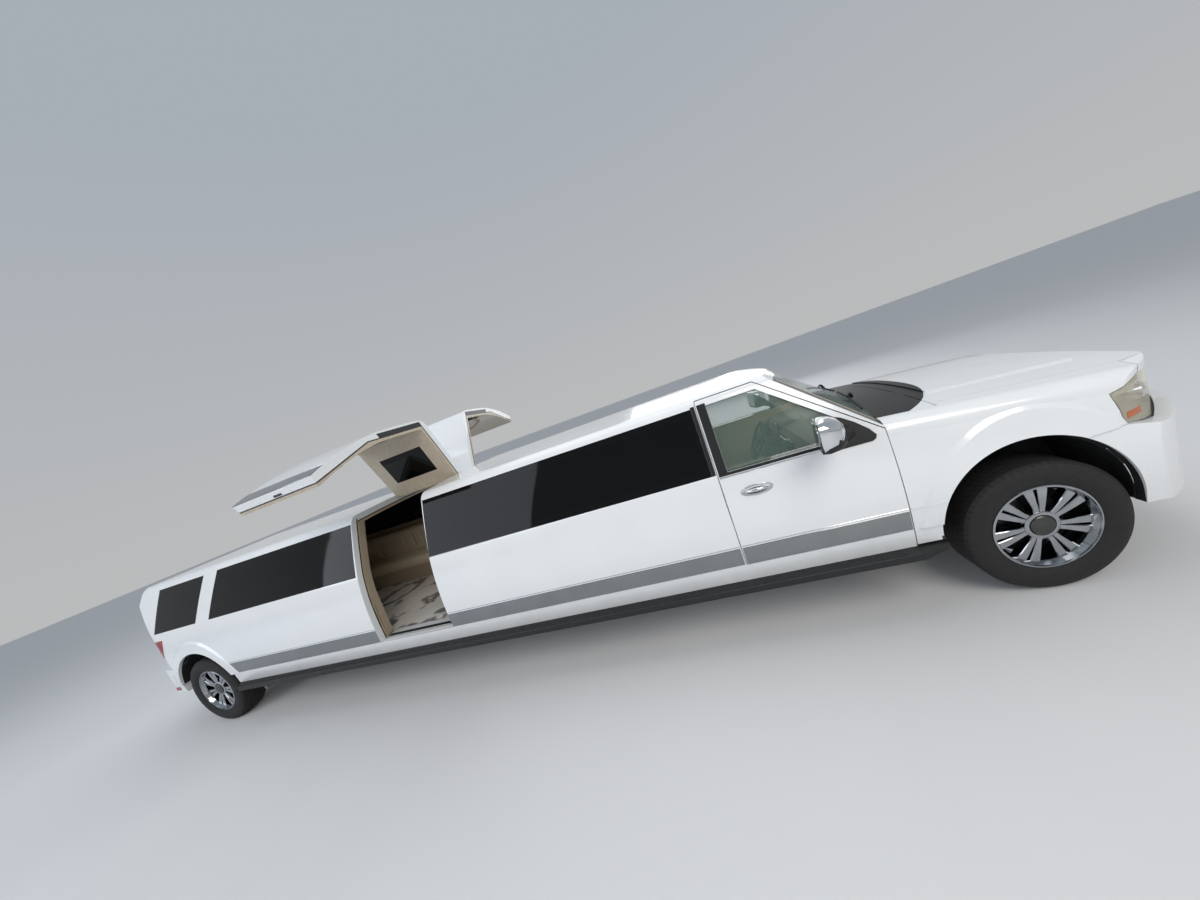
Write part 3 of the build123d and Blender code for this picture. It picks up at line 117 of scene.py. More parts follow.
def add_node(tree, kind, inputs=(), **settings):
    """Adds a node with its settings. An input is a value, a socket, or a node whose first output feeds it."""
    node = tree.nodes.new(kind)
    for name, value in settings.items():
        setattr(node, name, value)
    for name, value in inputs.items() if isinstance(inputs, dict) else enumerate(inputs):
        source = value.outputs[0] if isinstance(value, bpy.types.Node) else value
        if isinstance(source, bpy.types.NodeSocket):
            tree.links.new(source, node.inputs[name])
        else:
            node.inputs[name].default_value = source
    return node


def place_on(tree):
    """The x, y and z of a point of the piece, by name."""
    coords = add_node(tree, "ShaderNodeTexCoord")
    return dict(zip("xyz", add_node(tree, "ShaderNodeSeparateXYZ", {0: coords.outputs["Object"]}).outputs))


def work_out(tree, values, steps):
    """Adds the steps of a formula. A step gives the name of its result, its operation and its inputs."""
    for result, operation, *inputs in steps:
        values[result] = add_node(tree, MATH, [values.get(i, i) for i in inputs], operation=operation)
    return values


def feed(material, socket):
    """What feeds a socket of a material's shader."""
    return material.node_tree.nodes["Principled BSDF"].inputs[socket].links[0].from_socket


def drive(material, socket, source):
    """Lets a source feed a socket of a material's shader."""
    material.node_tree.links.new(source, material.node_tree.nodes["Principled BSDF"].inputs[socket])


def cover(material, mask, shade, rougher=0.0):
    """Lays a colour over a finish where the mask is 1, and may make it rougher there."""
    tree = material.node_tree
    mix = add_node(tree, MIX, {0: mask, 6: feed(material, "Base Color"), 7: shade}, data_type="RGBA")
    drive(material, "Base Color", mix.outputs[2])
    if rougher:
        rough = add_node(tree, MATH, (mask, rougher, feed(material, "Roughness")), operation="MULTIPLY_ADD")
        drive(material, "Roughness", rough.outputs[0])


def copied(material, name):
    """A copy of a finish under a new name, with its node tree."""
    copy = material.copy()
    copy.name = name
    return copy, copy.node_tree


print("mid grey as linear light", round(srgb("#808080")[0], 3))


# %% [markdown]
# ### A finish that varies
# Every finish starts here. A soft noise in object coordinates, which stay fixed to the piece, blends two near
# colours and two roughnesses. A finer noise may raise a bump. Leather and moulded grain are made of small
# cells, so they get their bump from a cell pattern. A scale is 1 divided by the size of the pattern
# in metres: 900 is a grain of about 1.1 mm, and 12 is a soft cloud of about 80 mm.


# %% Surfaces with noise and grain
def surface(name, light, dark, roughness=(0.3, 0.45), scale=12.0, bump=0.0, bump_scale=180.0, stretch=(1, 1, 1),
            **shader_inputs):
    """A material whose colour, roughness and bump vary with noise."""
    material = bpy.data.materials.new(name)
    material.use_nodes = True
    tree = material.node_tree
    shader = tree.nodes["Principled BSDF"]
    coords = add_node(tree, "ShaderNodeTexCoord")
    mapping = add_node(tree, "ShaderNodeMapping", {"Vector": coords.outputs["Object"], "Scale": stretch})
    noise = add_node(tree, "ShaderNodeTexNoise", {"Vector": mapping.outputs[0], "Scale": scale, "Detail": 5.0})
    mix = add_node(tree, MIX, {0: noise.outputs["Fac"], 6: srgb(dark), 7: srgb(light)}, data_type="RGBA")
    drive(material, "Base Color", mix.outputs[2])
    rough = add_node(tree, "ShaderNodeMapRange", {"Value": noise.outputs["Fac"], "From Min": 0.3, "From Max": 0.7,
                                                  "To Min": roughness[0], "To Max": roughness[1]})
    drive(material, "Roughness", rough.outputs[0])
    if bump:
        fine = add_node(tree, "ShaderNodeTexNoise", {"Vector": mapping.outputs[0], "Scale": bump_scale})
        height = add_node(tree, "ShaderNodeBump", {"Height": fine.outputs["Fac"], "Strength": bump,
                                                   "Distance": 0.002})
        drive(material, "Normal", height.outputs[0])
    for socket, value in shader_inputs.items():
        shader.inputs[socket.replace("_", " ")].default_value = value
    return material


def grained(material, scale=420.0, strength=0.35, distance=0.0015):
    """Adds the small cells of leather or moulded grain to a material."""
    tree = material.node_tree
    coords = add_node(tree, "ShaderNodeTexCoord")
    cells = add_node(tree, "ShaderNodeTexVoronoi", {"Vector": coords.outputs["Object"], "Scale": scale},
                     feature="SMOOTH_F1")
    bump = add_node(tree, "ShaderNodeBump", {"Height": cells.outputs["Distance"], "Strength": strength,
                                             "Distance": distance})
    drive(material, "Normal", bump.outputs[0])
    return material


# %% [markdown]
# ### Metals
# Plated metal on the handles and the grille mirrors all round it, and its roughness is close to zero. The wheels
# are plated too but dulled by brake dust, and the wide strip along the side is polished stainless steel,
# which is a little greyer. Cast and rolled parts under the vehicle are matt and uneven.

# %% Metals
chrome = surface("bright_chrome", "#E4E6E8", "#C9CDD1", (0.05, 0.12), 9.0, Metallic=1.0)
wheel_chrome = surface("wheel_chrome", "#B4B7BA", "#8D9195", (0.06, 0.16), 14.0, Metallic=1.0)
mirror_steel = surface("mirror_polished_steel", "#9EA2A3", "#85898A", (0.03, 0.08), 5.0, Metallic=1.0)
dark_steel = surface("dark_steel", "#5A5B5D", "#38393B", (0.35, 0.55), 30.0, 0.2, 300.0, Metallic=0.9)
frame_black = surface("chassis_black", "#1C1D1F", "#0F1011", (0.4, 0.65), 14.0, 0.25, 90.0)
cast_metal = surface("cast_aluminium", "#7E7F80", "#5B5C5E", (0.45, 0.65), 30.0, 0.5, 260.0, Metallic=0.8)
fin_metal = surface("radiator_fins", "#3A3B3D", "#1B1C1D", (0.4, 0.6), 8.0, 0.5, 400.0, Metallic=0.6)
pipe_steel = surface("exhaust_steel", "#8A7F73", "#5F574F", (0.35, 0.55), 10.0, 0.2, 120.0, Metallic=0.9)
print("finishes so far", len(bpy.data.materials))

# %% [markdown]
# ### Plastics and rubber
# Moulded plastic has a fine pebbled grain of about 1 mm that scatters light, and the trim on the pillars is
# the same plastic with a clear coat. Rubber is darker and rougher than either.

# %% Plastics and rubber
black_plastic = surface("moulded_black_plastic", "#1E1F20", "#121314", (0.5, 0.65), 20.0, 0.4, 900.0)
gloss_black = surface("gloss_black_trim", "#0D0E0F", "#070808", (0.08, 0.16), 8.0, Coat_Weight=0.6)
seal_rubber = surface("seal_rubber", "#141414", "#0B0B0B", (0.6, 0.8), 30.0, 0.2, 500.0)
tyre_rubber = surface("tyre_rubber", "#242425", "#151516", (0.7, 0.9), 40.0, 0.35, 700.0)
tank_plastic = surface("tank_plastic", "#2A2B2C", "#1C1D1E", (0.5, 0.7), 12.0, 0.3, 200.0)
dash_plastic = grained(surface("dash_soft_plastic", "#77716A", "#69635C", (0.5, 0.65), 16.0), 600.0, 0.3)
print("finishes so far", len(bpy.data.materials))

# %% [markdown]
# ### Soft trim and lacquered wood
# Leather shows rounded cells of 2 mm or so and a low sheen. The lining is a woven cloth with a soft edge light.
# The bar front is veneer under lacquer, so its figure is drawn out along the grain under a clear coat.

# %% Soft trim and veneer
seat_leather = grained(surface("seat_leather", "#B9AB95", "#A4957F", (0.4, 0.55), 9.0))
bench_leather = grained(surface("bench_leather", "#D8CBB5", "#C2B49B", (0.35, 0.5), 7.0))
wheel_leather = grained(surface("steering_wheel_leather", "#2A2826", "#1E1C1B", (0.4, 0.55), 9.0), 700.0)
trim_cloth = surface("beige_lining", "#A89880", "#8E7E67", (0.75, 0.9), 25.0, 0.6, 900.0, Sheen_Weight=0.3)
bar_lacquer = surface("bar_lacquer", "#B9A17E", "#8F7754", (0.12, 0.22), 6.0, stretch=(1, 6, 6), Coat_Weight=0.7)

# %% [markdown]
# ### Lenses and glass
# The old headlamp lenses have yellowed and let light through unevenly. The glass of the front doors is clear
# with a green tint, and the glass of the lounge is so dark that only its reflection shows.

# %% Lenses and glass
red_lens = surface("red_lens", "#A3141A", "#7D0B10", (0.08, 0.14), 14.0, 0.3, 60.0, Coat_Weight=0.6)
amber_lens = surface("amber_lens", "#C4672A", "#A4501C", (0.15, 0.22), 14.0, 0.3, 90.0)
clear_glass = surface("green_tint_glass", "#7F9A8E", "#76918A", (0.02, 0.04), 3.0, Alpha=0.2)
privacy_glass = surface("privacy_glass", "#08090B", "#050607", (0.02, 0.05), 2.0, Alpha=0.97,
                        Specular_IOR_Level=0.2)
cap_grey = surface("wheel_cap_grey", "#5A5B5A", "#474846", (0.25, 0.35), 20.0, Metallic=0.9)
clear_lens = surface("hazed_lens", "#F0EDDD", "#DAD4BA", (0.08, 0.2), 9.0, 0.1, 40.0, Alpha=0.38)

# %% [markdown]
# ### Marbled floor
# The lounge floor is a pale sheet printed with dark veins some 200 to 600 mm apart. A wave pattern that is bent
# by noise gives such veins, and a colour ramp sets how narrow they are.

# %% Marbled floor
stone_floor = surface("marbled_floor", "#DAD8D4", "#8E8C88", (0.1, 0.2), 3.0, Coat_Weight=0.5)
tree = stone_floor.node_tree
coords = add_node(tree, "ShaderNodeTexCoord")
warp = add_node(tree, "ShaderNodeTexNoise", {"Vector": coords.outputs["Object"], "Scale": 1.4, "Detail": 5.0})
veins = add_node(tree, "ShaderNodeTexWave", {"Vector": warp.outputs["Color"], "Scale": 1.6, "Distortion": 5.0,
                                             "Detail": 4.0})
ramp = add_node(tree, "ShaderNodeValToRGB", {"Fac": veins.outputs["Fac"]})
ramp.color_ramp.elements[0].color = srgb("#77757A")
ramp.color_ramp.elements[1].position = 0.35
ramp.color_ramp.elements[1].color = srgb("#E2E0DC")
drive(stone_floor, "Base Color", ramp.outputs[0])
print("finishes", len(bpy.data.materials))

# %% [markdown]
# ### White enamel outside, trim inside
# One CAD solid is the whole wall: outer skin, jamb and lining. It could be cut into three pieces, but the shader
# can tell them apart by how deep a point lies below the outer surface. The first few centimetres are enamel,
# then comes the black seal, then the lining, and beside the windows the enamel stops sooner. For a
# roof-hinged door, the point is first turned back to where it lies with the door shut.

# %% Shape of the outer surface, for the shader
# The side and the roof are simple curves here, good to a few millimetres, which is less than the seal is wide.
SKIN_DEPTH, SKIN_LESS_BY_WINDOW, LINING_DEPTH = 0.056, 0.04, 0.067
SIDE_LEAN, SIDE_WIDEST = 0.323, 0.992
ROOF_BOW = 0.0265
TAIL_KNEE_Z, TAIL_SLOPE, TAIL_FACTOR = 1.14, 0.578, 0.87
TAIL_CORNER_Y, TAIL_CORNER_BOW, TAIL_BOW = 0.61, 2.03, 0.242
WINDOW_BAND = (1.246, 1.735)
# The groove colour is painted shade for the tread grooves of the tyres.
SEAL_BLACK, WHEELHOUSE_BLACK, GROOVE_PAINTED_SHADE, COWL_BLACK = "#0E0E0E", "#111213", "#070707", "#141516"


# %% Depth below the outer surface
def wall_material(name, paint, lining, sign=0):
    """Enamel, seal and lining by depth. A sign turns a roof door's points back to the shut door."""
    material, tree = copied(paint, name)
    point = add_node(tree, "ShaderNodeTexCoord").outputs["Object"]
    if sign:
        turn = add_node(tree, "ShaderNodeVectorRotate", {"Vector": point, "Angle": -sign * JET_OPEN,
                                                         "Center": (0, sign * JET_HINGE_Y, JET_HINGE_Z)},
                        rotation_type="X_AXIS")
        point = turn.outputs[0]
    place = dict(zip("xyz", add_node(tree, "ShaderNodeSeparateXYZ", {0: point}).outputs))
    found = work_out(tree, place, (
        ("across", "ABSOLUTE", "y"),
        ("lean", "MULTIPLY_ADD", "z", -SIDE_LEAN, BELT_Y + SIDE_LEAN * BELT_Z),
        ("lean", "MINIMUM", "lean", SIDE_WIDEST),
        ("side depth", "SUBTRACT", "lean", "across"),
        ("across squared", "MULTIPLY", "y", "y"),
        ("crown", "MULTIPLY_ADD", "across squared", -ROOF_BOW, ROOF_Z),
        ("roof depth", "SUBTRACT", "crown", "z"),
        ("above knee", "SUBTRACT", "z", TAIL_KNEE_Z),
        ("above knee", "MAXIMUM", "above knee", 0.0),
        ("tail", "MULTIPLY_ADD", "above knee", -TAIL_SLOPE, "x"),
        ("tail", "SUBTRACT", "tail", TAIL_X),
        ("tail depth", "MULTIPLY", "tail", TAIL_FACTOR),
        ("corner", "SUBTRACT", "across", TAIL_CORNER_Y),
        ("corner", "MAXIMUM", "corner", 0.0),
        ("corner", "POWER", "corner", 2.0),
        ("bow", "MULTIPLY", "across squared", TAIL_BOW),
        ("bow", "MULTIPLY_ADD", "corner", TAIL_CORNER_BOW, "bow"),
        ("plan depth", "SUBTRACT", "x", TAIL_X),
        ("plan depth", "SUBTRACT", "plan depth", "bow"),
        ("depth", "MINIMUM", "side depth", "roof depth"),
        ("tail depth", "MINIMUM", "tail depth", "plan depth"),
        ("depth", "MINIMUM", "depth", "tail depth"),
        ("above sill", "GREATER_THAN", "z", WINDOW_BAND[0]),
        ("below head", "LESS_THAN", "z", WINDOW_BAND[1]),
        ("by window", "MULTIPLY", "above sill", "below head"),
        ("skin", "MULTIPLY_ADD", "by window", -SKIN_LESS_BY_WINDOW, SKIN_DEPTH),
        ("dark", "GREATER_THAN", "depth", "skin"),
        ("inner", "GREATER_THAN", "depth", LINING_DEPTH),
    ))
    cover(material, found["dark"], srgb(SEAL_BLACK), 0.45)
    # Patches of about 33 mm make the cloth of the lining look worn rather than printed.
    weave = add_node(tree, "ShaderNodeTexNoise", {"Vector": point, "Scale": 30.0, "Detail": 4.0})
    light, shade = lining
    cloth = add_node(tree, MIX, {0: weave.outputs["Fac"], 6: srgb(shade), 7: srgb(light)}, data_type="RGBA")
    cover(material, found["inner"], cloth.outputs[2])
    return material


# %% [markdown]
# ### Black wheelhouses
# Fender and wheelhouse are one solid too. On the real vehicle the inside of the arch is sprayed black, and the
# black starts just behind the lip. So a point is black where it lies inside the radius of the arch, or where it
# is low and further in than a given half width.

# %% Wheelhouses
ARCH_LIP, FLARE_Y, WHEELHOUSE_TOP_Z = 0.012, 0.984, 0.98


def reach_steps(x, z):
    """The steps for a point's distance from an axle at x and z."""
    return (("along", "SUBTRACT", "x", x), ("up", "SUBTRACT", "z", z), ("reach", "MULTIPLY", "along", "along"),
            ("reach", "MULTIPLY_ADD", "up", "up", "reach"), ("reach", "SQRT", "reach"))


def arch_material(name, paint, arch, inner_y):
    """Enamel that turns black inside the arch, or low and further in than inner_y."""
    arch_x, arch_z, arch_radius = arch
    material, tree = copied(paint, name)
    found = work_out(tree, place_on(tree), reach_steps(arch_x, arch_z) + (
        ("across", "ABSOLUTE", "y"),
        ("near", "LESS_THAN", "reach", arch_radius + ARCH_LIP),
        ("behind lip", "LESS_THAN", "across", FLARE_Y),
        ("near", "MULTIPLY", "near", "behind lip"),
        ("low", "LESS_THAN", "z", WHEELHOUSE_TOP_Z),
        ("inside", "LESS_THAN", "across", inner_y),
        ("inside", "MULTIPLY", "inside", "low"),
        ("dark", "MAXIMUM", "near", "inside"),
    ))
    cover(material, found["dark"], srgb(WHEELHOUSE_BLACK), 0.5)
    return material


# %% [markdown]
# ### Road dust
# A parked vehicle has a film of dust below its sills that fades upwards in patches. It is mixed into the colour
# by height and noise, which is cheaper than a second layer and keeps the enamel's gloss.

# %% Road dust
DUST_LOW_Z, DUST_HIGH_Z, DUST_COLOUR = 0.42, 0.85, "#8C887F"


def soiled(material, strength=0.35):
    """Adds road dust that fades out above the sills."""
    tree = material.node_tree
    point = add_node(tree, "ShaderNodeTexCoord").outputs["Object"]
    low = add_node(tree, "ShaderNodeMapRange", {"Value": place_on(tree)["z"], "From Min": DUST_LOW_Z,
                                                "From Max": DUST_HIGH_Z, "To Min": strength, "To Max": 0.0})
    # Dust gathers in clouds of about 140 mm.
    spots = add_node(tree, "ShaderNodeTexNoise", {"Vector": point, "Scale": 7.0, "Detail": 8.0, "Roughness": 0.7})
    amount = add_node(tree, MATH, (low.outputs[0], spots.outputs["Fac"]), operation="MULTIPLY")
    cover(material, amount, srgb(DUST_COLOUR))
    return material


# %% [markdown]
# ### Cowl
# Between the windscreen and the hood lies a black plastic cowl with a curved front edge. The CAD hood reaches a
# little under it, so both solids get one mask that is black behind the same curve, and the edge runs on from
# one to the other.

# %% Cowl
COWL_EDGE_X, COWL_BOW, COWL_BOW_POWER = FRONT_AXLE_X - 0.175, 0.513, 3.56
COWL_HALF, COWL_LOW_Z, COWL_TOP_Z = 0.861, 1.2, 1.27


def cowl_material(name, base, is_cowl):
    """Black cowl and white enamel that meet at the curved edge, on the hood or on the cowl itself."""
    material, tree = copied(base, name)
    steps = (
        ("across", "ABSOLUTE", "y"),
        ("edge", "POWER", "across", COWL_BOW_POWER),
        ("edge", "MULTIPLY_ADD", "edge", -COWL_BOW, COWL_EDGE_X),
        ("behind", "LESS_THAN", "x", "edge"),
        ("high", "GREATER_THAN", "z", COWL_LOW_Z),
        ("narrow", "LESS_THAN", "across", COWL_HALF),
        ("high", "MULTIPLY", "high", "narrow"),
        ("mask", "MULTIPLY", "behind", "high"),
    )
    if is_cowl:
        steps += (("top", "GREATER_THAN", "z", COWL_TOP_Z), ("below", "SUBTRACT", 1.0, "top"),
                  ("mask", "MAXIMUM", "mask", "below"))
    found = work_out(tree, place_on(tree), steps + (("coat", "MULTIPLY_ADD", "mask", -0.8, 0.8),))
    cover(material, found["mask"], srgb(COWL_BLACK), 0.35)
    drive(material, "Coat Weight", found["coat"].outputs[0])
    return material


# %% [markdown]
# ### Headlamp lens
# The solid of the lamp runs up under the hood's edge. Above the lens it is painted, so the clear part ends at a
# height, and the rest is opaque and white.

# %% Headlamp lens
LENS_ALPHA, LENS_TOP_Z = 0.38, 1.15


def lens_material(name, lens, paint, top):
    """A clear lens up to a height, and the body's enamel above it."""
    material, tree = copied(lens, name)
    above = add_node(tree, MATH, (place_on(tree)["z"], top), operation="GREATER_THAN")
    cover(material, above, srgb(paint))
    alpha = add_node(tree, MATH, (above, LENS_ALPHA), operation="MAXIMUM")
    drive(material, "Alpha", alpha.outputs[0])
    return material


# %% [markdown]
# ### Tyres
# A tyre carries blocks of tread between grooves and a few moulded rings on its side wall. Thousands of real
# blocks would cost far too many faces here, so the shader finds the angle and the distance from the axle and
# raises blocks and rings as a bump. The grooves are coloured near-black as painted shade, since a bump casts none.

# %% Tyres
TREAD_BLOCKS, RIB_WIDTH, RIB_GAP, BLOCK_GAP, BLOCK_SKEW = 66, 0.05, 0.16, 0.2, 12.0
TREAD_RADIUS, RING_RADIUS, RING_PITCH, RING_LEVEL, RING_HEIGHT = 0.387, 0.372, 0.021, 0.55, 0.4


# Blocks come every 39 mm round the tread on ribs 50 mm wide, and rings every 21 mm up the side wall.
def tyre_material(name, base, axle_x):
    """Rubber with rings on the side wall and tread blocks, with painted shade in the grooves, drawn round the axle.
    """
    material, tree = copied(base, name)
    found = work_out(tree, place_on(tree), reach_steps(axle_x, WHEEL_Z) + (
        ("turn", "ARCTAN2", "up", "along"),
        ("turn", "MULTIPLY", "turn", TREAD_BLOCKS / (2 * math.pi)),
        ("across", "ABSOLUTE", "y"),
        ("across", "SUBTRACT", "across", WHEEL_Y),
        ("rib", "MULTIPLY_ADD", "across", 1 / RIB_WIDTH, 8.0),
        ("rib", "FRACT", "rib"),
        ("slant", "ABSOLUTE", "across"),
        ("slant", "MULTIPLY", "slant", BLOCK_SKEW),
        ("skew", "ADD", "turn", "slant"),
        ("skew", "FRACT", "skew"),
        ("on rib", "GREATER_THAN", "rib", RIB_GAP),
        ("on block", "GREATER_THAN", "skew", BLOCK_GAP),
        ("block", "MULTIPLY", "on rib", "on block"),
        ("tread", "GREATER_THAN", "reach", TREAD_RADIUS),
        ("ring", "MULTIPLY", "reach", 2 * math.pi / RING_PITCH),
        ("ring", "SINE", "ring"),
        ("ring", "GREATER_THAN", "ring", RING_LEVEL),
        ("on wall", "LESS_THAN", "reach", RING_RADIUS),
        ("ring", "MULTIPLY", "ring", "on wall"),
        ("raised", "MULTIPLY", "tread", "block"),
        ("height", "MULTIPLY_ADD", "ring", RING_HEIGHT, "raised"),
        ("painted_groove_shade", "SUBTRACT", 1.0, "block"),
        ("painted_groove_shade", "MULTIPLY", "tread", "painted_groove_shade"),
    ))
    bump = add_node(tree, "ShaderNodeBump", {"Height": found["height"], "Strength": 0.7, "Distance": 0.006})
    drive(material, "Normal", bump.outputs[0])
    # Near-black in the grooves is painted shade.
    cover(material, found["painted_groove_shade"], srgb(GROOVE_PAINTED_SHADE))
    return material


# %% [markdown]
# ### The paints
# White enamel on steel is smooth, with a clear coat that mirrors the sky. The plastic bumpers carry the same
# white with a duller coat. All walls, doors and fenders start from the enamel.

# %% Paints
enamel = soiled(surface("white_enamel", "#E9ECEE", "#E0E4E7", (0.16, 0.24), 3.0, 0.04, 500.0, Coat_Weight=0.8,
                        Coat_Roughness=0.05))
bumper_white = soiled(surface("white_bumper_paint", "#E8EBED", "#DFE3E6", (0.2, 0.3), 3.0, 0.05, 400.0,
                              Coat_Weight=0.6, Coat_Roughness=0.08))
LINING, JET_LINING = ("#B5A58C", "#98876D"), ("#C6BAA6", "#A89A84")
wall_white = wall_material("enamel_wall", enamel, LINING)
rear_white = arch_material("enamel_rear_wall", wall_white, REAR_ARCH, 0.0)
fender_white = arch_material("enamel_fender", enamel, FRONT_ARCH, 0.93)
bumper_front = arch_material("front_bumper_paint", bumper_white, FRONT_ARCH, 0.0)
hood_white = cowl_material("enamel_hood", enamel, False)
cowl_black = cowl_material("cowl_and_enamel", enamel, True)
lamp_lens = lens_material("headlamp_lens", clear_lens, "#E6E9EB", LENS_TOP_Z)
AXLES = {"front": FRONT_AXLE_X, "rear": REAR_AXLE_X}
tyre_rubbers = {end: tyre_material(f"tyre_{end}", tyre_rubber, x) for end, x in AXLES.items()}
jet_white = {side: wall_material(f"enamel_roof_door_{side}", enamel, JET_LINING, sign)
             for side, sign in SIDES.items()}
print("materials", len(bpy.data.materials))

# %% [markdown]
# ### Each CAD node gets its finish
# The CAD nodes come with one plain slot each, so it is enough to put the right material in every slot.

# %% Assign materials to the CAD nodes
finishes = {
    "chassis_frame": frame_black, "floor_pan": stone_floor, "firewall": cowl_black, "roof_front": wall_white,
    "roof_spine": wall_white, "roof_rear": wall_white, "windscreen": clear_glass, "front_bumper": bumper_front,
    "grille": chrome, "radiator": fin_metal, "rear_bumper": bumper_white, "headlamps": lamp_lens,
    "tail_lamps": red_lens, "side_glass": privacy_glass, "rockers": enamel, "running_boards": black_plastic,
    "engine_block": cast_metal, "front_suspension": frame_black, "rear_axle": frame_black,
    "propshaft": frame_black, "exhaust": pipe_steel, "fuel_tank": tank_plastic, "dashboard": dash_plastic,
    "steering_wheel": wheel_leather, "front_seats": seat_leather, "partition": trim_cloth,
    "passenger_bench": bench_leather, "bar_cabinet": bar_lacquer, "hood": hood_white, "liftgate": wall_white,
    "liftgate_glass": privacy_glass,
}
for side in SIDES:
    finishes[f"side_mid_{side}"] = wall_white
    finishes[f"side_rear_{side}"] = rear_white
    finishes[f"fender_{side}"] = fender_white
    finishes[f"front_door_{side}"] = wall_white
    finishes[f"front_door_glass_{side}"] = clear_glass
    finishes[f"mirror_{side}"] = chrome
    finishes[f"jet_door_{side}"] = jet_white[side]
    finishes[f"jet_glass_{side}"] = privacy_glass
    finishes[f"knuckle_{side}"] = frame_black
    for end in ("front", "rear"):
        finishes[f"wheel_{end}_{side}"] = wheel_chrome
        finishes[f"tyre_{end}_{side}"] = tyre_rubbers[end]
for name, material in finishes.items():
    node = nodes[name]
    for slot in node.material_slots:
        slot.material = material
print("nodes without a finish", sorted(set(nodes) - set(finishes)))

# %% [markdown]
# ## Tools for the trim
# Nearly all trim is one of five shapes: a skin over rings, a band along the side, a patch cast onto a CAD
# surface, a round bar and a rounded block. Each becomes a closed mesh with its normals outwards, its place
# in the mesh itself, and the body it rides on. The roof-hinged doors stand open in the model, so their
# trim is drawn with the door shut, where it is easy to measure, and then turned up with the door.


# %% A piece from points and faces
def add_piece(name, points, faces, material, body="body", smooth=40):
    """A closed mesh piece, smooth below an angle, that rides on a body."""
    mesh = bpy.data.meshes.new(name)
    mesh.from_pydata([tuple(p) for p in points], [], faces)
    mesh.materials.append(material)
    work = bmesh.new()
    work.from_mesh(mesh)
    bmesh.ops.remove_doubles(work, verts=work.verts, dist=1e-6)
    bmesh.ops.recalc_face_normals(work, faces=work.faces)
    work.to_mesh(mesh)
    work.free()
    mesh.shade_smooth()
    mesh.set_sharp_from_angle(angle=math.radians(smooth))
    piece = bpy.data.objects.new(name, mesh)
    bpy.context.scene.collection.objects.link(piece)
    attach(piece, body)
    return piece


def skinned(rings, close_ends=True):
    """Points and faces of a skin over closed rings of equal count."""
    count = len(rings[0])
    points = [p for ring in rings for p in ring]
    faces = []
    for i in range(len(rings) - 1):
        for j in range(count):
            k = (j + 1) % count
            faces.append((i * count + j, i * count + k, (i + 1) * count + k, (i + 1) * count + j))
    if close_ends:
        faces.append(tuple(range(count)))
        faces.append(tuple(range((len(rings) - 1) * count, len(rings) * count)))
    return points, faces


def lifted(points, sign):
    """Points of a roof-hinged door turned up about its hinge."""
    centre = Vector((0, sign * JET_HINGE_Y, JET_HINGE_Z))
    turn = Matrix.Rotation(sign * JET_OPEN, 3, "X")
    return [turn @ (Vector(p) - centre) + centre for p in points]


# %% [markdown]
# ### Bands
# A strip is glued to the panel and stands a few millimetres off it with softened edges. Its section is
# drawn once at each end and joined, since the side is straight along the vehicle.


# %% Bands along the side
def side_band(name, low_ends, high_ends, z0, z1, out, sign, material, body="body", lift=False, rows=5, sunk=0.002):
    """A thin band on the side between two heights, with slanting ends and softened edges."""
    edge = min(0.0015, (z1 - z0) / 4)
    profile = [(z0, -sunk), (z0, out - edge)]
    for i in range(rows + 1):
        profile.append((z0 + edge + (z1 - z0 - 2 * edge) * i / rows, out))
    profile += [(z1, out - edge), (z1, -sunk)]
    rings = []
    for end in (0, 1):
        ring = []
        for z, proud in profile:
            t = (z - z0) / (z1 - z0)
            x = low_ends[end] + (high_ends[end] - low_ends[end]) * t
            ring.append(side_point(x, z, proud, sign))
        rings.append(lifted(ring, sign) if lift else ring)
    points, faces = skinned(rings)
    return add_piece(name, points, faces, material, body)


# %% [markdown]
# ### Patches
# Lenses, reflectors and small trim lie on curved panels whose formula isn't written here. A grid of points is
# cast onto the panel like a shadow, and the sheet is given a little thickness both ways. A ray that
# misses at an edge takes the nearest point of the panel.


# %% Patches on a surface
def surface_of(names):
    """The joined outer faces of CAD nodes, ready for casting rays."""
    corners = []
    polygons = []
    for name in names:
        node = nodes[name]
        start = len(corners)
        corners += [node.matrix_world @ v.co for v in node.data.vertices]
        polygons += [[start + i for i in face.vertices] for face in node.data.polygons]
    return BVHTree.FromPolygons(corners, polygons)


def patch(name, tree, grid, direction, out, material, body="body", sunk=0.003):
    """A thin sheet laid on a surface: a grid of start points is cast along a direction."""
    aim = Vector(direction).normalized()
    reach = 0.3
    top = []
    for row in grid:
        line = []
        for start in row:
            place, normal, _, _ = tree.ray_cast(Vector(start), aim)
            if place is None:
                place, normal, _, _ = tree.find_nearest(Vector(start) + aim * reach)
            reach = (place - Vector(start)).dot(aim)
            line.append((place, normal if normal.dot(aim) < 0 else -normal))
        top.append(line)
    rows, columns = len(top), len(top[0])
    points = [p + n * out for line in top for p, n in line] + [p - n * sunk for line in top for p, n in line]
    faces = []
    half = rows * columns
    for i in range(rows - 1):
        for j in range(columns - 1):
            a, d = i * columns + j, (i + 1) * columns + j
            faces += [(a, a + 1, d + 1, d), (half + d, half + d + 1, half + a + 1, half + a)]
    rim = list(range(columns)) + [i * columns + columns - 1 for i in range(1, rows)]
    rim += [(rows - 1) * columns + j for j in range(columns - 2, -1, -1)]
    rim += [i * columns for i in range(rows - 2, 0, -1)]
    for a, b in zip(rim, rim[1:] + rim[:1]):
        faces.append((a, b, half + b, half + a))
    return add_piece(name, points, faces, material, body)


# %% [markdown]
# ### Bars
# Rails, arms, pulls and seals are round bars that follow a path, thicker in one place than in another where
# the real one tapers.


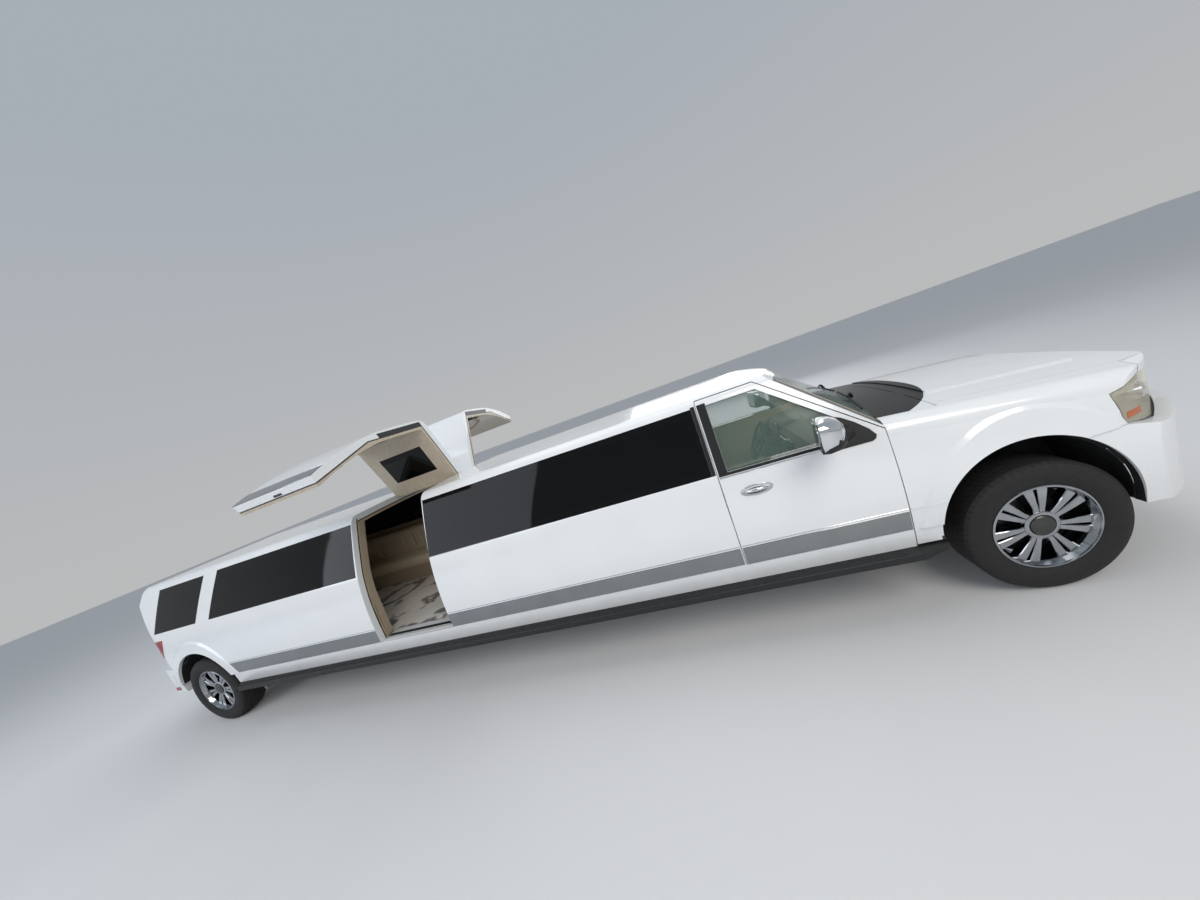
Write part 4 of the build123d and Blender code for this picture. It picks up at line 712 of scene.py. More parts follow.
# %% Round bars
def tube(name, path, radius, material, body="body", sides=8):
    """A round bar along a path of points. A radius may be given for each point."""
    path = [Vector(p) for p in path]
    radii = radius if isinstance(radius, (list, tuple)) else [radius] * len(path)
    rings = []
    side = None
    for i, point in enumerate(path):
        ahead = (path[min(i + 1, len(path) - 1)] - path[max(i - 1, 0)]).normalized()
        if side is None:
            side = ahead.orthogonal().normalized()
        side = (side - ahead * side.dot(ahead)).normalized()
        other = ahead.cross(side)
        rings.append([point + (side * math.cos(a) + other * math.sin(a)) * radii[i]
                      for a in (2 * math.pi * k / sides for k in range(sides))])
    points, faces = skinned(rings)
    return add_piece(name, points, faces, material, body, 60)


def arc_points(start, middle, end, count=9):
    """Points on the smooth curve that passes through a middle point."""
    a, b, c = Vector(start), Vector(middle), Vector(end)
    control = b * 2 - (a + c) / 2
    steps = [i / (count - 1) for i in range(count)]
    return [a * (1 - t) ** 2 + control * 2 * t * (1 - t) + c * t * t for t in steps]


# %% [markdown]
# ### Rounded blocks and cushions
# A block with round edges is a box whose points are pulled onto a smaller box and pushed out again by the
# radius. The same block makes a cushion: its face swells to a crown, as foam does under a cover, and sewn
# channels pull it in along straight lines. A cloth simulation could find the crown too, but the benches
# are metres long with dozens of channels, and a formula keeps every seam straight.

# %% Rounded blocks
SEAM_WIDTH = 0.09


def rounded(name, low, high, radius, material, body="body", crown=0.0, up=2, grooves=0, groove_axis=0, depth=0.008,
            counts=(8, 8, 4), turn=None, face=1):
    """A block with round edges. A crown swells one face, and grooves are sewn channels across it."""
    low, high = (Vector([pick(pair) for pair in zip(low, high)]) for pick in (min, max))
    centre, half = (low + high) / 2, (high - low) / 2
    core = Vector([max(h - radius, 0.0) for h in half])
    points = []
    faces = []
    for axis in range(3):
        u, v = [(1, 2), (0, 2), (0, 1)][axis]
        for end in (-1, 1):
            start = len(points)
            for i in range(counts[u] + 1):
                for j in range(counts[v] + 1):
                    p = Vector((0, 0, 0))
                    p[axis] = end * half[axis]
                    evenly = 2 * i / counts[u] - 1
                    p[u] = half[u] * (evenly if counts[u] >= 20 else -math.cos(math.pi * i / counts[u]))
                    p[v] = -math.cos(math.pi * j / counts[v]) * half[v]
                    inner = Vector([max(-core[k], min(core[k], p[k])) for k in range(3)])
                    away = p - inner
                    p = inner + away.normalized() * radius if away.length > 1e-9 else p
                    swell = math.prod(1 - (p[k] / half[k]) ** 2 for k in range(3) if k != up)
                    if p[up] * face > 0:
                        p[up] += face * crown * swell
                        if grooves:
                            place = (p[groove_axis] / half[groove_axis] + 1) / 2 * grooves
                            near = abs(place - round(place))
                            inside = 0 < round(place) < grooves
                            p[up] -= face * depth * math.exp(-(near / SEAM_WIDTH) ** 2) if inside else 0
                    points.append(p)
            for i in range(counts[u]):
                for j in range(counts[v]):
                    a = start + i * (counts[v] + 1) + j
                    faces.append((a, a + 1, a + counts[v] + 2, a + counts[v] + 1))
    if turn:
        axis_name, angle = turn
        points = [Matrix.Rotation(angle, 3, axis_name) @ p for p in points]
    return add_piece(name, [p + centre for p in points], faces, material, body)


# %% [markdown]
# ### Leaning edges
# The front and rear edges of a roof-hinged door lean, so the strips and the jambs beside it lean with them.

# %% Leaning edges of the roof doors
def jet_edge_x(edge_x, z):
    """Where a leaning edge of a roof-hinged door stands at height z."""
    return edge_x - JET_LEAN * (ROOF_SEAM_Z - z) / (ROOF_SEAM_Z - SILL_Z)


rear_edge = [round(jet_edge_x(JET_REAR_X, z), 3) for z in (ROOF_SEAM_Z, SILL_Z)]
print("rear edge of a roof door at the roof and at the sill", rear_edge)


# %% [markdown]
# ## Bright strips and mouldings along the side
# A polished steel strip runs low on the doors and side panels, with a thin bright line above it. On the real
# vehicle it is one length of sheet for each panel, so here too a band ends at each shut line. The belt below
# the door window is a rubber lip over a bright moulding, and the pillar beside it is gloss black.

# %% Strips along the side
GAP = 0.004
STRIP_Z = (0.584, 0.712)
LINE_Z = (0.722, 0.728)
for side, sign in SIDES.items():
    runs = [
        ("door", f"front_door_{side}", lambda z: (DOOR_REAR_X + 0.012, DOOR_FRONT_X - 0.004), False),
        ("mid", "body", lambda z: (jet_edge_x(JET_FRONT_X, z) + 0.01, DOOR_REAR_X - 0.006), False),
        ("jet", f"jet_door_{side}",
         lambda z: (jet_edge_x(JET_REAR_X, z) + GAP, jet_edge_x(JET_FRONT_X, z) - GAP), True),
        ("rear", "body", lambda z: (REAR_AXLE_X + 0.46, jet_edge_x(JET_REAR_X, z) - 0.01), False),
    ]
    for run, body, ends, lift in runs:
        for kind, (z0, z1), out, finish in (("strip", STRIP_Z, 0.004, mirror_steel),
                                            ("line", LINE_Z, 0.003, chrome)):
            side_band(f"{kind}_{run}_{side}", ends(z0), ends(z1), z0, z1, out, sign, finish, body, lift)
    rear, front = DOOR_REAR_X + 0.012, DOOR_FRONT_X - 0.24
    side_band(f"belt_rubber_{side}", (rear, front), (rear, front - 0.01), BELT_Z - 0.004, BELT_Z + 0.016, 0.003,
              sign, seal_rubber, f"front_door_{side}")
    side_band(f"belt_bright_{side}", (rear, front), (rear, front), BELT_Z - 0.016, BELT_Z - 0.004, 0.006, sign,
              chrome, f"front_door_{side}")
    z0, z1 = BELT_Z + 0.016, WINDOW_TOP_Z + 0.012
    for name, x0, x1, body in (("door", 0.013, 0.074, f"front_door_{side}"), ("wall", -0.03, -0.004, "body")):
        ends = (DOOR_REAR_X + x0, DOOR_REAR_X + x1)
        side_band(f"pillar_{name}_{side}", ends, ends, z0, z1, 0.003, sign, gloss_black, body)
    for name, x, body in (("a", DOOR_REAR_X + 0.07, f"front_door_{side}"), ("b", DOOR_REAR_X - 0.033, "body")):
        side_band(f"pillar_line_{name}_{side}", (x, x + 0.003), (x, x + 0.003), z0, z1, 0.0045, sign, dark_steel,
                  body)

# %% [markdown]
# ## Door handle
# The handle is a bright bar in an oval chrome dish. A gloss black plate behind the bar, set a little low, is
# painted shadow of the bar in the dish. Ovals of points on the side, one inside the other and each at its own
# depth, make the dish follow the curve of the door.


# %% Door handles
def oval_ring(x, z, width, height, out, sign, count=32):
    """An oval of points on the side."""
    turns = [2 * math.pi * i / count for i in range(count)]
    return [side_point(x + width / 2 * math.cos(a), z + height / 2 * math.sin(a), out, sign) for a in turns]


HANDLE_X, HANDLE_Z = DOOR_REAR_X + 0.218, 1.095
for side, sign in SIDES.items():
    body = f"front_door_{side}"
    rings = [oval_ring(HANDLE_X, HANDLE_Z, w, h, out, sign) for w, h, out in (
        (0.215, 0.078, -0.004), (0.215, 0.078, 0.003), (0.208, 0.071, 0.006), (0.192, 0.056, 0.005),
        (0.188, 0.052, -0.001), (0.12, 0.03, -0.002))]
    # The gloss black plate, 4 mm lower than the handle, is painted shadow of the bar in the dish.
    painted_shadow_rings = [oval_ring(HANDLE_X, HANDLE_Z - 0.004, w, h, out, sign)
              for w, h, out in ((0.15, 0.04, -0.004), (0.15, 0.04, 0.0015), (0.14, 0.034, 0.002))]
    add_piece(f"handle_hollow_{side}", *skinned(painted_shadow_rings), gloss_black, body, 50)
    add_piece(f"handle_dish_{side}", *skinned(rings), chrome, body, 50)
    bar = arc_points(*[side_point(HANDLE_X + x, HANDLE_Z + z, out, sign)
                       for x, z, out in ((-0.085, 0.0, 0.006), (0.0, 0.004, 0.034), (0.085, 0.0, 0.006))], 13)
    radii = [0.007 + 0.006 * math.sin(math.pi * i / 12) for i in range(13)]
    tube(f"handle_bar_{side}", bar, radii, chrome, body, 12)
print("handles", len(SIDES))

# %% [markdown]
# ## Door mirrors
# The shell is chromed plastic, a rounded box that shrinks towards the front, with flat glass in its rear
# face. It stands on a black foot and an arm, and the arm leaves the door from a black sail that fills the
# corner of the window. The shell replaces the plain CAD mirror.


# %% Door mirrors
def round_rect(width, height, radius, count=6):
    """A rectangle with round corners as (across, up) pairs."""
    points = []
    for cx, cy, start in ((1, 1, 0), (-1, 1, 90), (-1, -1, 180), (1, -1, 270)):
        for i in range(count + 1):
            a = math.radians(start + 90 * i / count)
            points.append((cx * (width / 2 - radius) + radius * math.cos(a),
                           cy * (height / 2 - radius) + radius * math.sin(a)))
    return points


MIRROR_X, MIRROR_Y, MIRROR_Z = DOOR_FRONT_X - 0.41, 1.155, BELT_Z + 0.14
MIRROR_SWEEP = 0.16
for side, sign in SIDES.items():
    body = f"front_door_{side}"

    def mirror_ring(x, width, height, radius, y_shift=0.0, z_shift=0.0):
        """One section of the shell, square to the vehicle's length."""
        return [Vector((MIRROR_X + x - MIRROR_SWEEP * across, sign * (MIRROR_Y + y_shift + across),
                        MIRROR_Z + z_shift + up)) for across, up in round_rect(width, height, radius)]

    shell = [mirror_ring(*row) for row in ((-0.006, 0.235, 0.165, 0.04), (0.0, 0.25, 0.18, 0.045),
                                           (0.03, 0.252, 0.182, 0.05), (0.075, 0.235, 0.168, 0.055),
                                           (0.11, 0.19, 0.135, 0.055), (0.132, 0.12, 0.08, 0.038))]
    cap = add_piece(f"mirror_cap_{side}", *skinned(shell), chrome, body, 50)
    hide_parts(f"mirror_{side}")
    glass = [mirror_ring(*row) for row in ((-0.012, 0.212, 0.142, 0.034), (-0.004, 0.22, 0.15, 0.036))]
    add_piece(f"mirror_glass_{side}", *skinned(glass), mirror_steel, body, 50)
    lower = [mirror_ring(x, w, h, r, -0.008, -0.046)
             for x, w, h, r in ((-0.01, 0.246, 0.088, 0.03), (0.03, 0.262, 0.102, 0.036),
                                (0.09, 0.236, 0.092, 0.034), (0.13, 0.15, 0.06, 0.026))]
    add_piece(f"mirror_foot_{side}", *skinned(lower), black_plastic, body, 50)
    root = Vector((DOOR_FRONT_X - 0.19, sign * (side_y(BELT_Z + 0.05) - 0.01), BELT_Z + 0.05))
    tip = Vector((MIRROR_X + 0.075, sign * (MIRROR_Y - 0.08), MIRROR_Z - 0.05))
    rings = []
    for rise, rear, front in ((-0.04, -0.285, -0.085), (-0.03, -0.285, -0.062), (-0.008, -0.284, -0.052),
                              (0.035, -0.28, -0.078), (0.1, -0.272, -0.142), (0.148, -0.266, -0.205),
                              (0.165, -0.263, -0.245)):
        xs = [DOOR_FRONT_X + rear + (front - rear) * u / 8 for u in range(9)]
        rings.append([side_point(x, BELT_Z + rise, 0.005, sign) for x in xs]
                     + [side_point(x, BELT_Z + rise, -0.014, sign) for x in reversed(xs)])
    add_piece(f"mirror_sail_{side}", *skinned(rings), black_plastic, body, 40)
    tube(f"mirror_arm_{side}", arc_points(root, (root + tip) / 2 + Vector((0, 0, -0.012)), tip, 7),
         [0.046, 0.042, 0.038, 0.034, 0.032, 0.032, 0.03], black_plastic, body, 14)
print("mirrors", len(SIDES))

# %% [markdown]
# ## Wheels
# The wheels have seven pairs of flat spokes with dark gaps between them, a plain grey cap in a bright ring and
# a polished rim edge. Behind the spokes stand a brake disc and a dark dust shield, as seen through the
# gaps. Round parts are turned from a profile, as on a lathe. The spoke faces are thin bright plates laid over
# the CAD spokes, which are plainer. All ride on their wheel, so they spin with it.


# %% Turned pieces
def turned(name, profile, centre, axis, material, body="body", count=32, smooth=40):
    """A closed profile of (along, radius) points turned about an axis through a centre."""
    axis = Vector(axis).normalized()
    side = axis.orthogonal().normalized()
    other = axis.cross(side)
    rings = []
    for i in range(count + 1):
        a = 2 * math.pi * i / count
        out = side * math.cos(a) + other * math.sin(a)
        rings.append([Vector(centre) + axis * along + out * radius for along, radius in profile])
    points, faces = skinned(rings, close_ends=False)
    return add_piece(name, points, faces, material, body, smooth)


# %% Brake discs, spoke faces, caps and rim edges
SPOKE_PAIRS, PAIR_HALF_ANGLE, SPOKE_FOOT = 7, 9.5, 0.072
SPOKE_ROWS = ((0.08, 0.025, 0.0885), (0.12, 0.031, 0.0925), (0.19, 0.043, 0.0945), (0.236, 0.053, 0.0925))
for side, sign in SIDES.items():
    for end, axle in AXLES.items():
        body = f"wheel_{end}_{side}"
        centre = (axle, sign * WHEEL_Y, WHEEL_Z)
        out = (0, sign, 0)
        turned(f"dust_shield_{end}_{side}", [(-0.03, 0.0), (-0.03, 0.222), (-0.026, 0.222), (-0.026, 0.0)], centre,
               out, frame_black, body)
        turned(f"brake_disc_{end}_{side}", [(-0.02, 0.05), (-0.02, 0.168), (0.002, 0.168), (0.002, 0.09),
                                            (0.02, 0.08), (0.02, 0.05)], centre, out, dark_steel, body)
        turned(f"wheel_cap_{end}_{side}", [(0.088, 0.0), (0.088, 0.062), (0.096, 0.061), (0.1, 0.056),
                                           (0.099, 0.048), (0.102, 0.038), (0.103, 0.0)], centre, out, cap_grey,
               body)
        turned(f"wheel_hub_{end}_{side}", [(0.07, 0.066), (0.07, 0.09), (0.091, 0.087), (0.095, 0.08),
                                           (0.0935, 0.066)], centre, out, wheel_chrome, body)
        points, faces = [], []
        for pair in range(SPOKE_PAIRS):
            for shift in (-PAIR_HALF_ANGLE, PAIR_HALF_ANGLE):
                a = math.radians(pair * 360 / SPOKE_PAIRS + shift)
                lean = -math.radians(shift)
                radial = Vector((math.sin(a), 0, math.cos(a)))
                tangent = Vector((math.cos(a), 0, -math.sin(a)))
                loops = []
                for r, width, proud in SPOKE_ROWS:
                    mid = Vector(centre) + radial * r + tangent * lean * r * 0.12
                    section = ((-1, SPOKE_FOOT), (-1, proud - 0.004), (-0.8, proud), (0.8, proud),
                               (1, proud - 0.004), (1, SPOKE_FOOT))
                    loops.append([mid + tangent * s * width / 2 + Vector((0, sign * depth, 0))
                                  for s, depth in section])
                spoke, sides = skinned(loops)
                faces += [tuple(i + len(points) for i in f) for f in sides]
                points += spoke
        add_piece(f"spoke_faces_{end}_{side}", points, faces, wheel_chrome, body, 35)
        turned(f"rim_edge_{end}_{side}", [(0.112, 0.2625), (0.121, 0.2625), (0.1235, 0.258), (0.1235, 0.252),
                                          (0.112, 0.248)], centre, out, wheel_chrome, body, 64)
print("spokes on each wheel", 2 * SPOKE_PAIRS)

# %% [markdown]
# ## Fender crease and lamps
# A low crease on the fender carries on the bright line of the door. Each headlamp has two silvered bowls
# behind its lens and an amber reflector in its rear corner. At the tail, the red lens runs round the corner of
# the body with two bright ribs, and the bumper has a red reflector on each side. The bowls are turned. The
# rest lies on curved panels, so it is made of patches cast from beside or from behind.

# %% Grids for patches
BESIDE_Y = 1.3


def side_grid(sign, x0, x1, z0, z1, columns, rows):
    """Start points of a patch that is cast from beside the vehicle."""
    return [[(x0 + (x1 - x0) * u / (columns - 1), sign * BESIDE_Y, z0 + (z1 - z0) * v / (rows - 1))
             for u in range(columns)] for v in range(rows)]


# %% Fender crease
for side, sign in SIDES.items():
    grid = side_grid(sign, DOOR_FRONT_X + 0.012, DOOR_FRONT_X + 0.197, 0.716, 0.73, 7, 2)
    patch(f"fender_crease_{side}", surface_of([f"fender_{side}"]), grid, (0, -sign, 0), 0.0045, enamel)
print("fender creases", len(SIDES))

# %% Headlamps
lamp_tree = surface_of(["headlamps"])
for side, sign in SIDES.items():
    for k, (y, z, radius) in enumerate(((0.58, 1.0, 0.06), (0.73, 1.0, 0.055))):
        place, _, _, _ = lamp_tree.ray_cast(Vector((6, sign * y, z)), Vector((-1, 0, 0)))
        bowl = [(-0.045, 0.0), (-0.038, radius * 0.5), (-0.02, radius * 0.8), (0.0, radius), (0.003, radius),
                (0.003, radius + 0.006), (-0.012, radius + 0.006), (-0.05, radius * 0.5), (-0.052, 0.0)]
        turned(f"lamp_bowl_{k}_{side}", bowl, place - Vector((0.03 + 0.03 * k, 0, 0)), (1, 0, 0), chrome)
    grid = side_grid(sign, FRONT_AXLE_X + 0.436, FRONT_AXLE_X + 0.536, 0.936, 0.972, 9, 5)
    patch(f"lamp_amber_{side}", lamp_tree, grid, (0, -sign, 0), 0.0012, amber_lens)

# %% Tail lamps and reflectors
tail_tree, lens_tree = surface_of(["rear_bumper"]), surface_of(["tail_lamps"])
for side, sign in SIDES.items():
    grid = side_grid(sign, REAR_AXLE_X - 0.56, REAR_AXLE_X - 0.65, 0.51, 0.555, 6, 4)
    patch(f"red_reflector_{side}", tail_tree, grid, (0, -sign, 0), 0.004, red_lens)
    for k, z in enumerate((1.02, 1.09)):
        grid = [[(-6, sign * (0.72 + 0.12 * u / 10), z - 0.004 + 0.008 * v) for u in range(11)] for v in range(2)]
        patch(f"tail_rib_{k}_{side}", lens_tree, grid, (1, 0, 0), 0.003, chrome)
    grid = []
    for v in range(7):
        t = v / 6
        x0, x1 = REAR_AXLE_X - 0.44 - 0.07 * t, REAR_AXLE_X - 0.758 - 0.09 * t
        grid.append([(x0 + (x1 - x0) * u / 12, sign * BESIDE_Y, 1.163 - 0.216 * t) for u in range(13)])
    patch(f"tail_lens_side_{side}", surface_of([f"side_rear_{side}"]), grid, (0, -sign, 0), 0.003, red_lens)

# %% [markdown]
# ## Inside the wheel arches
# Black splash liners follow each arch a few millimetres inside its lip, and flat panels close the wheelhouse
# towards the engine. They hide the inner faces of the white panels, as the real ones do.

# %% Wheelhouse panels and liners
LINER_INSET, LINER_WALL = 0.002, 0.006
for side, sign in SIDES.items():
    for k, (x0, x1, z0) in enumerate(((-0.51, -0.2, 0.54), (-0.2, 0.2, 0.6), (0.2, 0.47, 0.45))):
        rounded(f"wheelhouse_{k}_{side}", (FRONT_AXLE_X + x0, sign * 0.478, z0),
                (FRONT_AXLE_X + x1, sign * 0.501, 0.995), 0.003, frame_black)
    for end, arch, start, sweep, steps, inner, outer in (("front", FRONT_ARCH, -6, 150, 18, 0.486, 0.94),
                                                         ("rear", REAR_ARCH, -4, 188, 24, 0.64, 0.93)):
        arch_x, arch_z, arch_radius = arch
        far = arch_radius - LINER_INSET
        near = far - LINER_WALL
        rings = []
        for i in range(steps + 1):
            a = math.radians(start + sweep * i / steps)
            rings.append([Vector((arch_x + r * math.cos(a), sign * y, arch_z + r * math.sin(a)))
                          for r, y in ((far, inner), (far, outer), (near, outer), (near, inner))])
        add_piece(f"{end}_liner_{side}", *skinned(rings), frame_black, smooth=30)

# %% [markdown]
# ## Wipers
# Two rubber blades rest on the foot of the windscreen, each held by a tapering arm from the cowl. Rays cast
# straight down find where each point of a blade lies.

# %% Wipers
glass_tree = surface_of(["windscreen", "firewall", "hood"])


def on_screen(x, y, lift):
    """A point above the windscreen or the cowl."""
    place, normal, _, _ = glass_tree.ray_cast(Vector((x, y, 3)), Vector((0, 0, -1)))
    return place + normal * lift


WIPERS = {"right": ((0.06, -0.36), (-0.03, -0.76), (0.035, -0.2)),
          "left": ((0.06, 0.2), (0.035, -0.12), (0.0, 0.46))}
for name, (foot, (ax, ay), (bx, by)) in WIPERS.items():
    blade = [on_screen(DOOR_FRONT_X + ax + (bx - ax) * t / 8, ay + (by - ay) * t / 8, 0.012) for t in range(9)]
    tube(f"wiper_blade_{name}", blade, 0.007, seal_rubber)
    base = on_screen(DOOR_FRONT_X + foot[0], foot[1], 0.02)
    arm = arc_points(base, (base + blade[4]) / 2 + Vector((0, 0, 0.03)), blade[4] + Vector((0, 0, 0.01)), 7)
    tube(f"wiper_arm_{name}", arm, [0.014, 0.012, 0.01, 0.009, 0.008, 0.007, 0.006], black_plastic)
print("wipers", len(WIPERS))

# %% [markdown]
# ## Front seats
# Two leather bucket seats stand on black bases, each with a tilted back and a head rest on two steel posts.
# Their faces are crowned, with sewn channels across. They are padded, and replace the plain CAD seats.

# %% Front seats
FLOOR_TOP_Z = 0.573
SEAT_X = DOOR_REAR_X + 0.02
BACK_TILT, REST_TILT = -0.29, -0.2
for side, sign in SIDES.items():
    y = sign * 0.4
    rounded(f"seat_base_{side}", (SEAT_X + 0.02, y - 0.2, FLOOR_TOP_Z), (SEAT_X + 0.46, y + 0.2, 0.7), 0.02,
            black_plastic)
    cushion = rounded(f"seat_cushion_{side}", (SEAT_X, y - 0.26, 0.695), (SEAT_X + 0.5, y + 0.26, 0.835), 0.045,
                      seat_leather, crown=0.02, grooves=5, groove_axis=0, counts=(40, 16, 6))
    back = rounded(f"seat_back_{side}", (SEAT_X - 0.15, y - 0.25, 0.84), (SEAT_X - 0.03, y + 0.25, 1.43), 0.045,
                   seat_leather, crown=0.02, up=0, grooves=5, groove_axis=2, counts=(6, 16, 40),
                   turn=("Y", BACK_TILT))
    rest = rounded(f"seat_rest_{side}", (SEAT_X - 0.225, y - 0.13, 1.455), (SEAT_X - 0.14, y + 0.13, 1.595), 0.035,
                   seat_leather, crown=0.008, up=0, counts=(6, 12, 10), turn=("Y", REST_TILT))
    for piece in (cushion, back, rest):
        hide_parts("front_seats")
    for k in (-1, 1):
        post = [(SEAT_X - 0.165, y + k * 0.05, 1.38), (SEAT_X - 0.18, y + k * 0.05, 1.48)]
        tube(f"seat_post_{side}_{(k + 1) // 2}", post, 0.007, chrome)
    print("front seat", side, "stands at", round(y, 3))

# %% [markdown]
# ## Benches of the lounge
# One long bench follows the left wall, open where the roof door is, and a shorter one crosses the rear. A
# cloth plinth carries a seat cushion and a back, with a channel about every 160 mm.

# %% Benches
BENCH_FRONT_Y, BENCH_BACK_Y, WALL_Y = 0.42, 0.76, 0.862
CHANNEL = 0.16
PLINTH_TOP_Z, CUSHION_Z, BACK_Z = 0.76, (0.75, 0.885), (0.86, 1.235)
bench_runs = [("ahead", JET_FRONT_X + 0.26, DOOR_REAR_X - 0.7), ("behind", REAR_AXLE_X + 0.52, JET_REAR_X - 0.33)]
for run, x0, x1 in bench_runs:
    plinth = rounded(f"bench_plinth_{run}", (x0, BENCH_FRONT_Y + 0.02, FLOOR_TOP_Z), (x1, 0.885, PLINTH_TOP_Z),
                     0.012, trim_cloth)
    channels = round((x1 - x0) / CHANNEL)
    seat = rounded(f"bench_seat_{run}", (x0, BENCH_FRONT_Y, CUSHION_Z[0]), (x1, BENCH_BACK_Y + 0.06, CUSHION_Z[1]),
                   0.045, bench_leather, crown=0.018, grooves=channels, counts=(10 * channels, 14, 6))
    back = rounded(f"bench_back_{run}", (x0, BENCH_BACK_Y - 0.015, BACK_Z[0]), (x1, WALL_Y, BACK_Z[1]), 0.045,
                   bench_leather, crown=0.016, up=1, face=-1, grooves=channels, counts=(10 * channels, 6, 14))
    print("bench", run, "has", channels, "channels")
    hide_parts("passenger_bench")
x0 = REAR_AXLE_X + 0.52
rounded("bench_plinth_cross", (x0, -0.885, FLOOR_TOP_Z), (x0 + 0.6, BENCH_FRONT_Y, PLINTH_TOP_Z), 0.012, trim_cloth)
cross = rounded("bench_seat_cross", (x0 + 0.13, -WALL_Y, CUSHION_Z[0]), (x0 + 0.64, BENCH_FRONT_Y, CUSHION_Z[1]),
                0.045, bench_leather, crown=0.018, grooves=8, groove_axis=1, counts=(14, 80, 6))
cross_back = rounded("bench_back_cross", (x0 + 0.01, -0.855, BACK_Z[0]), (x0 + 0.19, 0.855, BACK_Z[1]), 0.05,
                     bench_leather, crown=0.016, up=0, grooves=11, groove_axis=1, counts=(6, 110, 14))

# %% [markdown]
# ## Bar and dashboard
# The bar on the right has a stone top, three lacquered fronts with bright pulls, and a rail that keeps
# glasses from sliding off. The dashboard gets a hood over its gauges, a dark middle stack and four vents. Small
# rounded blocks are enough for things that are seen through tinted glass.

# %% Bar
x0, x1 = JET_FRONT_X + 0.3, DOOR_REAR_X - 0.9
BAR_PANELS, RAIL_Y, RAIL_Z = 3, -0.515, 1.07
rounded("bar_top", (x0 - 0.015, -0.9, 1.033), (x1 + 0.015, -0.505, 1.048), 0.006, stone_floor)
width = (x1 - x0) / BAR_PANELS
for k in range(BAR_PANELS):
    left, middle = x0 + k * width, x0 + (k + 0.5) * width
    rounded(f"bar_panel_{k}", (left + 0.03, -0.56, 0.63), (left + width - 0.03, -0.55, 0.95), 0.004, bar_lacquer)
    tube(f"bar_knob_{k}", [(middle - 0.05, -0.54, 0.9), (middle + 0.05, -0.54, 0.9)], 0.006, chrome)
tube("bar_rail", [(x0, RAIL_Y, RAIL_Z), (x1, RAIL_Y, RAIL_Z)], 0.008, chrome)
for k in range(4):
    x = x0 + 0.04 + (x1 - x0 - 0.08) * k / 3
    tube(f"bar_post_{k}", [(x, RAIL_Y, RAIL_Z - 0.03), (x, RAIL_Y, RAIL_Z)], 0.006, chrome)
print("bar length", round(x1 - x0, 3))

# %% Dashboard
rounded("dash_binnacle", (DOOR_FRONT_X - 0.37, 0.24, 1.15), (DOOR_FRONT_X - 0.14, 0.56, 1.225), 0.03, dash_plastic)
rounded("dash_gauges", (DOOR_FRONT_X - 0.376, 0.27, 1.135), (DOOR_FRONT_X - 0.366, 0.53, 1.205), 0.004, gloss_black)
rounded("dash_stack", (DOOR_FRONT_X - 0.41, -0.13, 0.86), (DOOR_FRONT_X - 0.36, 0.13, 1.13), 0.012, gloss_black)
for k, y in enumerate((-0.72, -0.2, 0.2, 0.72)):
    rounded(f"dash_vent_{k}", (DOOR_FRONT_X - 0.398, y - 0.055, 1.08), (DOOR_FRONT_X - 0.36, y + 0.055, 1.13),
            0.008, black_plastic)

# %% [markdown]
# ## Sills and jambs of the roof doors
# With the roof doors up, one looks at the frame of the opening: a white sill plate with a rubber and a steel
# strip, a white frame face, a round rubber seal and a cloth trim that turns in to the lining. The frame face
# stays 4.5 mm clear of the shut door and its seal lies deeper, so nothing meets when the door comes down.

# %% Sills and jambs
SEAL_INSET, FRAME_CLEAR = 0.066, 0.0045
for side, sign in SIDES.items():
    x0, x1 = jet_edge_x(JET_REAR_X, SILL_Z) + GAP, jet_edge_x(JET_FRONT_X, SILL_Z) - GAP
    rounded(f"sill_plate_{side}", (x0, sign * 0.8, 0.5735), (x1, sign * 0.968, 0.5805), 0.003, enamel)
    for k, (inner, outer, finish) in enumerate(((0.872, 0.914, seal_rubber), (0.926, 0.932, mirror_steel))):
        rounded(f"sill_strip_{k}_{side}", (x0 + 0.01, sign * inner, 0.578), (x1 - 0.01, sign * outer, 0.582),
                0.0015, finish)
    for name, edge, way in (("rear", JET_REAR_X, -1), ("front", JET_FRONT_X, 1)):
        rings = []
        for i in range(13):
            z = SILL_Z + 0.01 + (1.69 - SILL_Z) * i / 12
            x = jet_edge_x(edge, z) + way * 0.006
            y = min(side_y(z) - 0.088, 0.9)
            rings.append([Vector((x + way * deep, sign * (y - inset), z)) for deep, inset in (
                (0.0, 0.0), (0.004, 0.05), (0.02, 0.085), (0.05, 0.085), (0.05, 0.0))])
        add_piece(f"jamb_trim_{name}_{side}", *skinned(rings), trim_cloth, smooth=50)
        frame_rings, seal = [], []
        for i in range(17):
            z = SILL_Z + 0.012 + (1.745 - SILL_Z) * i / 16
            x, y = jet_edge_x(edge, z) + way * FRAME_CLEAR, side_y(z)
            frame_rings.append([Vector((x + way * deep, sign * (y - inset), z)) for deep, inset in (
                (0.0, 0.005), (0.0, 0.058), (0.008, 0.058), (0.008, 0.005))])
            seal.append(Vector((x + way * 0.0025, sign * (y - SEAL_INSET), z)))
        add_piece(f"jamb_frame_{name}_{side}", *skinned(frame_rings), enamel, smooth=50)
        tube(f"jamb_seal_{name}_{side}", seal, 0.005, seal_rubber)

# %% [markdown]
# ## Ribs of the running boards
# The step pad has a rib of 3 mm across it every 30 mm, some two hundred on each side. They could be copies made
# in a loop, but one bar set on a line of points by Geometry Nodes is what an artist would use, and the
# count and the step stay easy to change. The result is made one mesh, so that it rides as one piece.


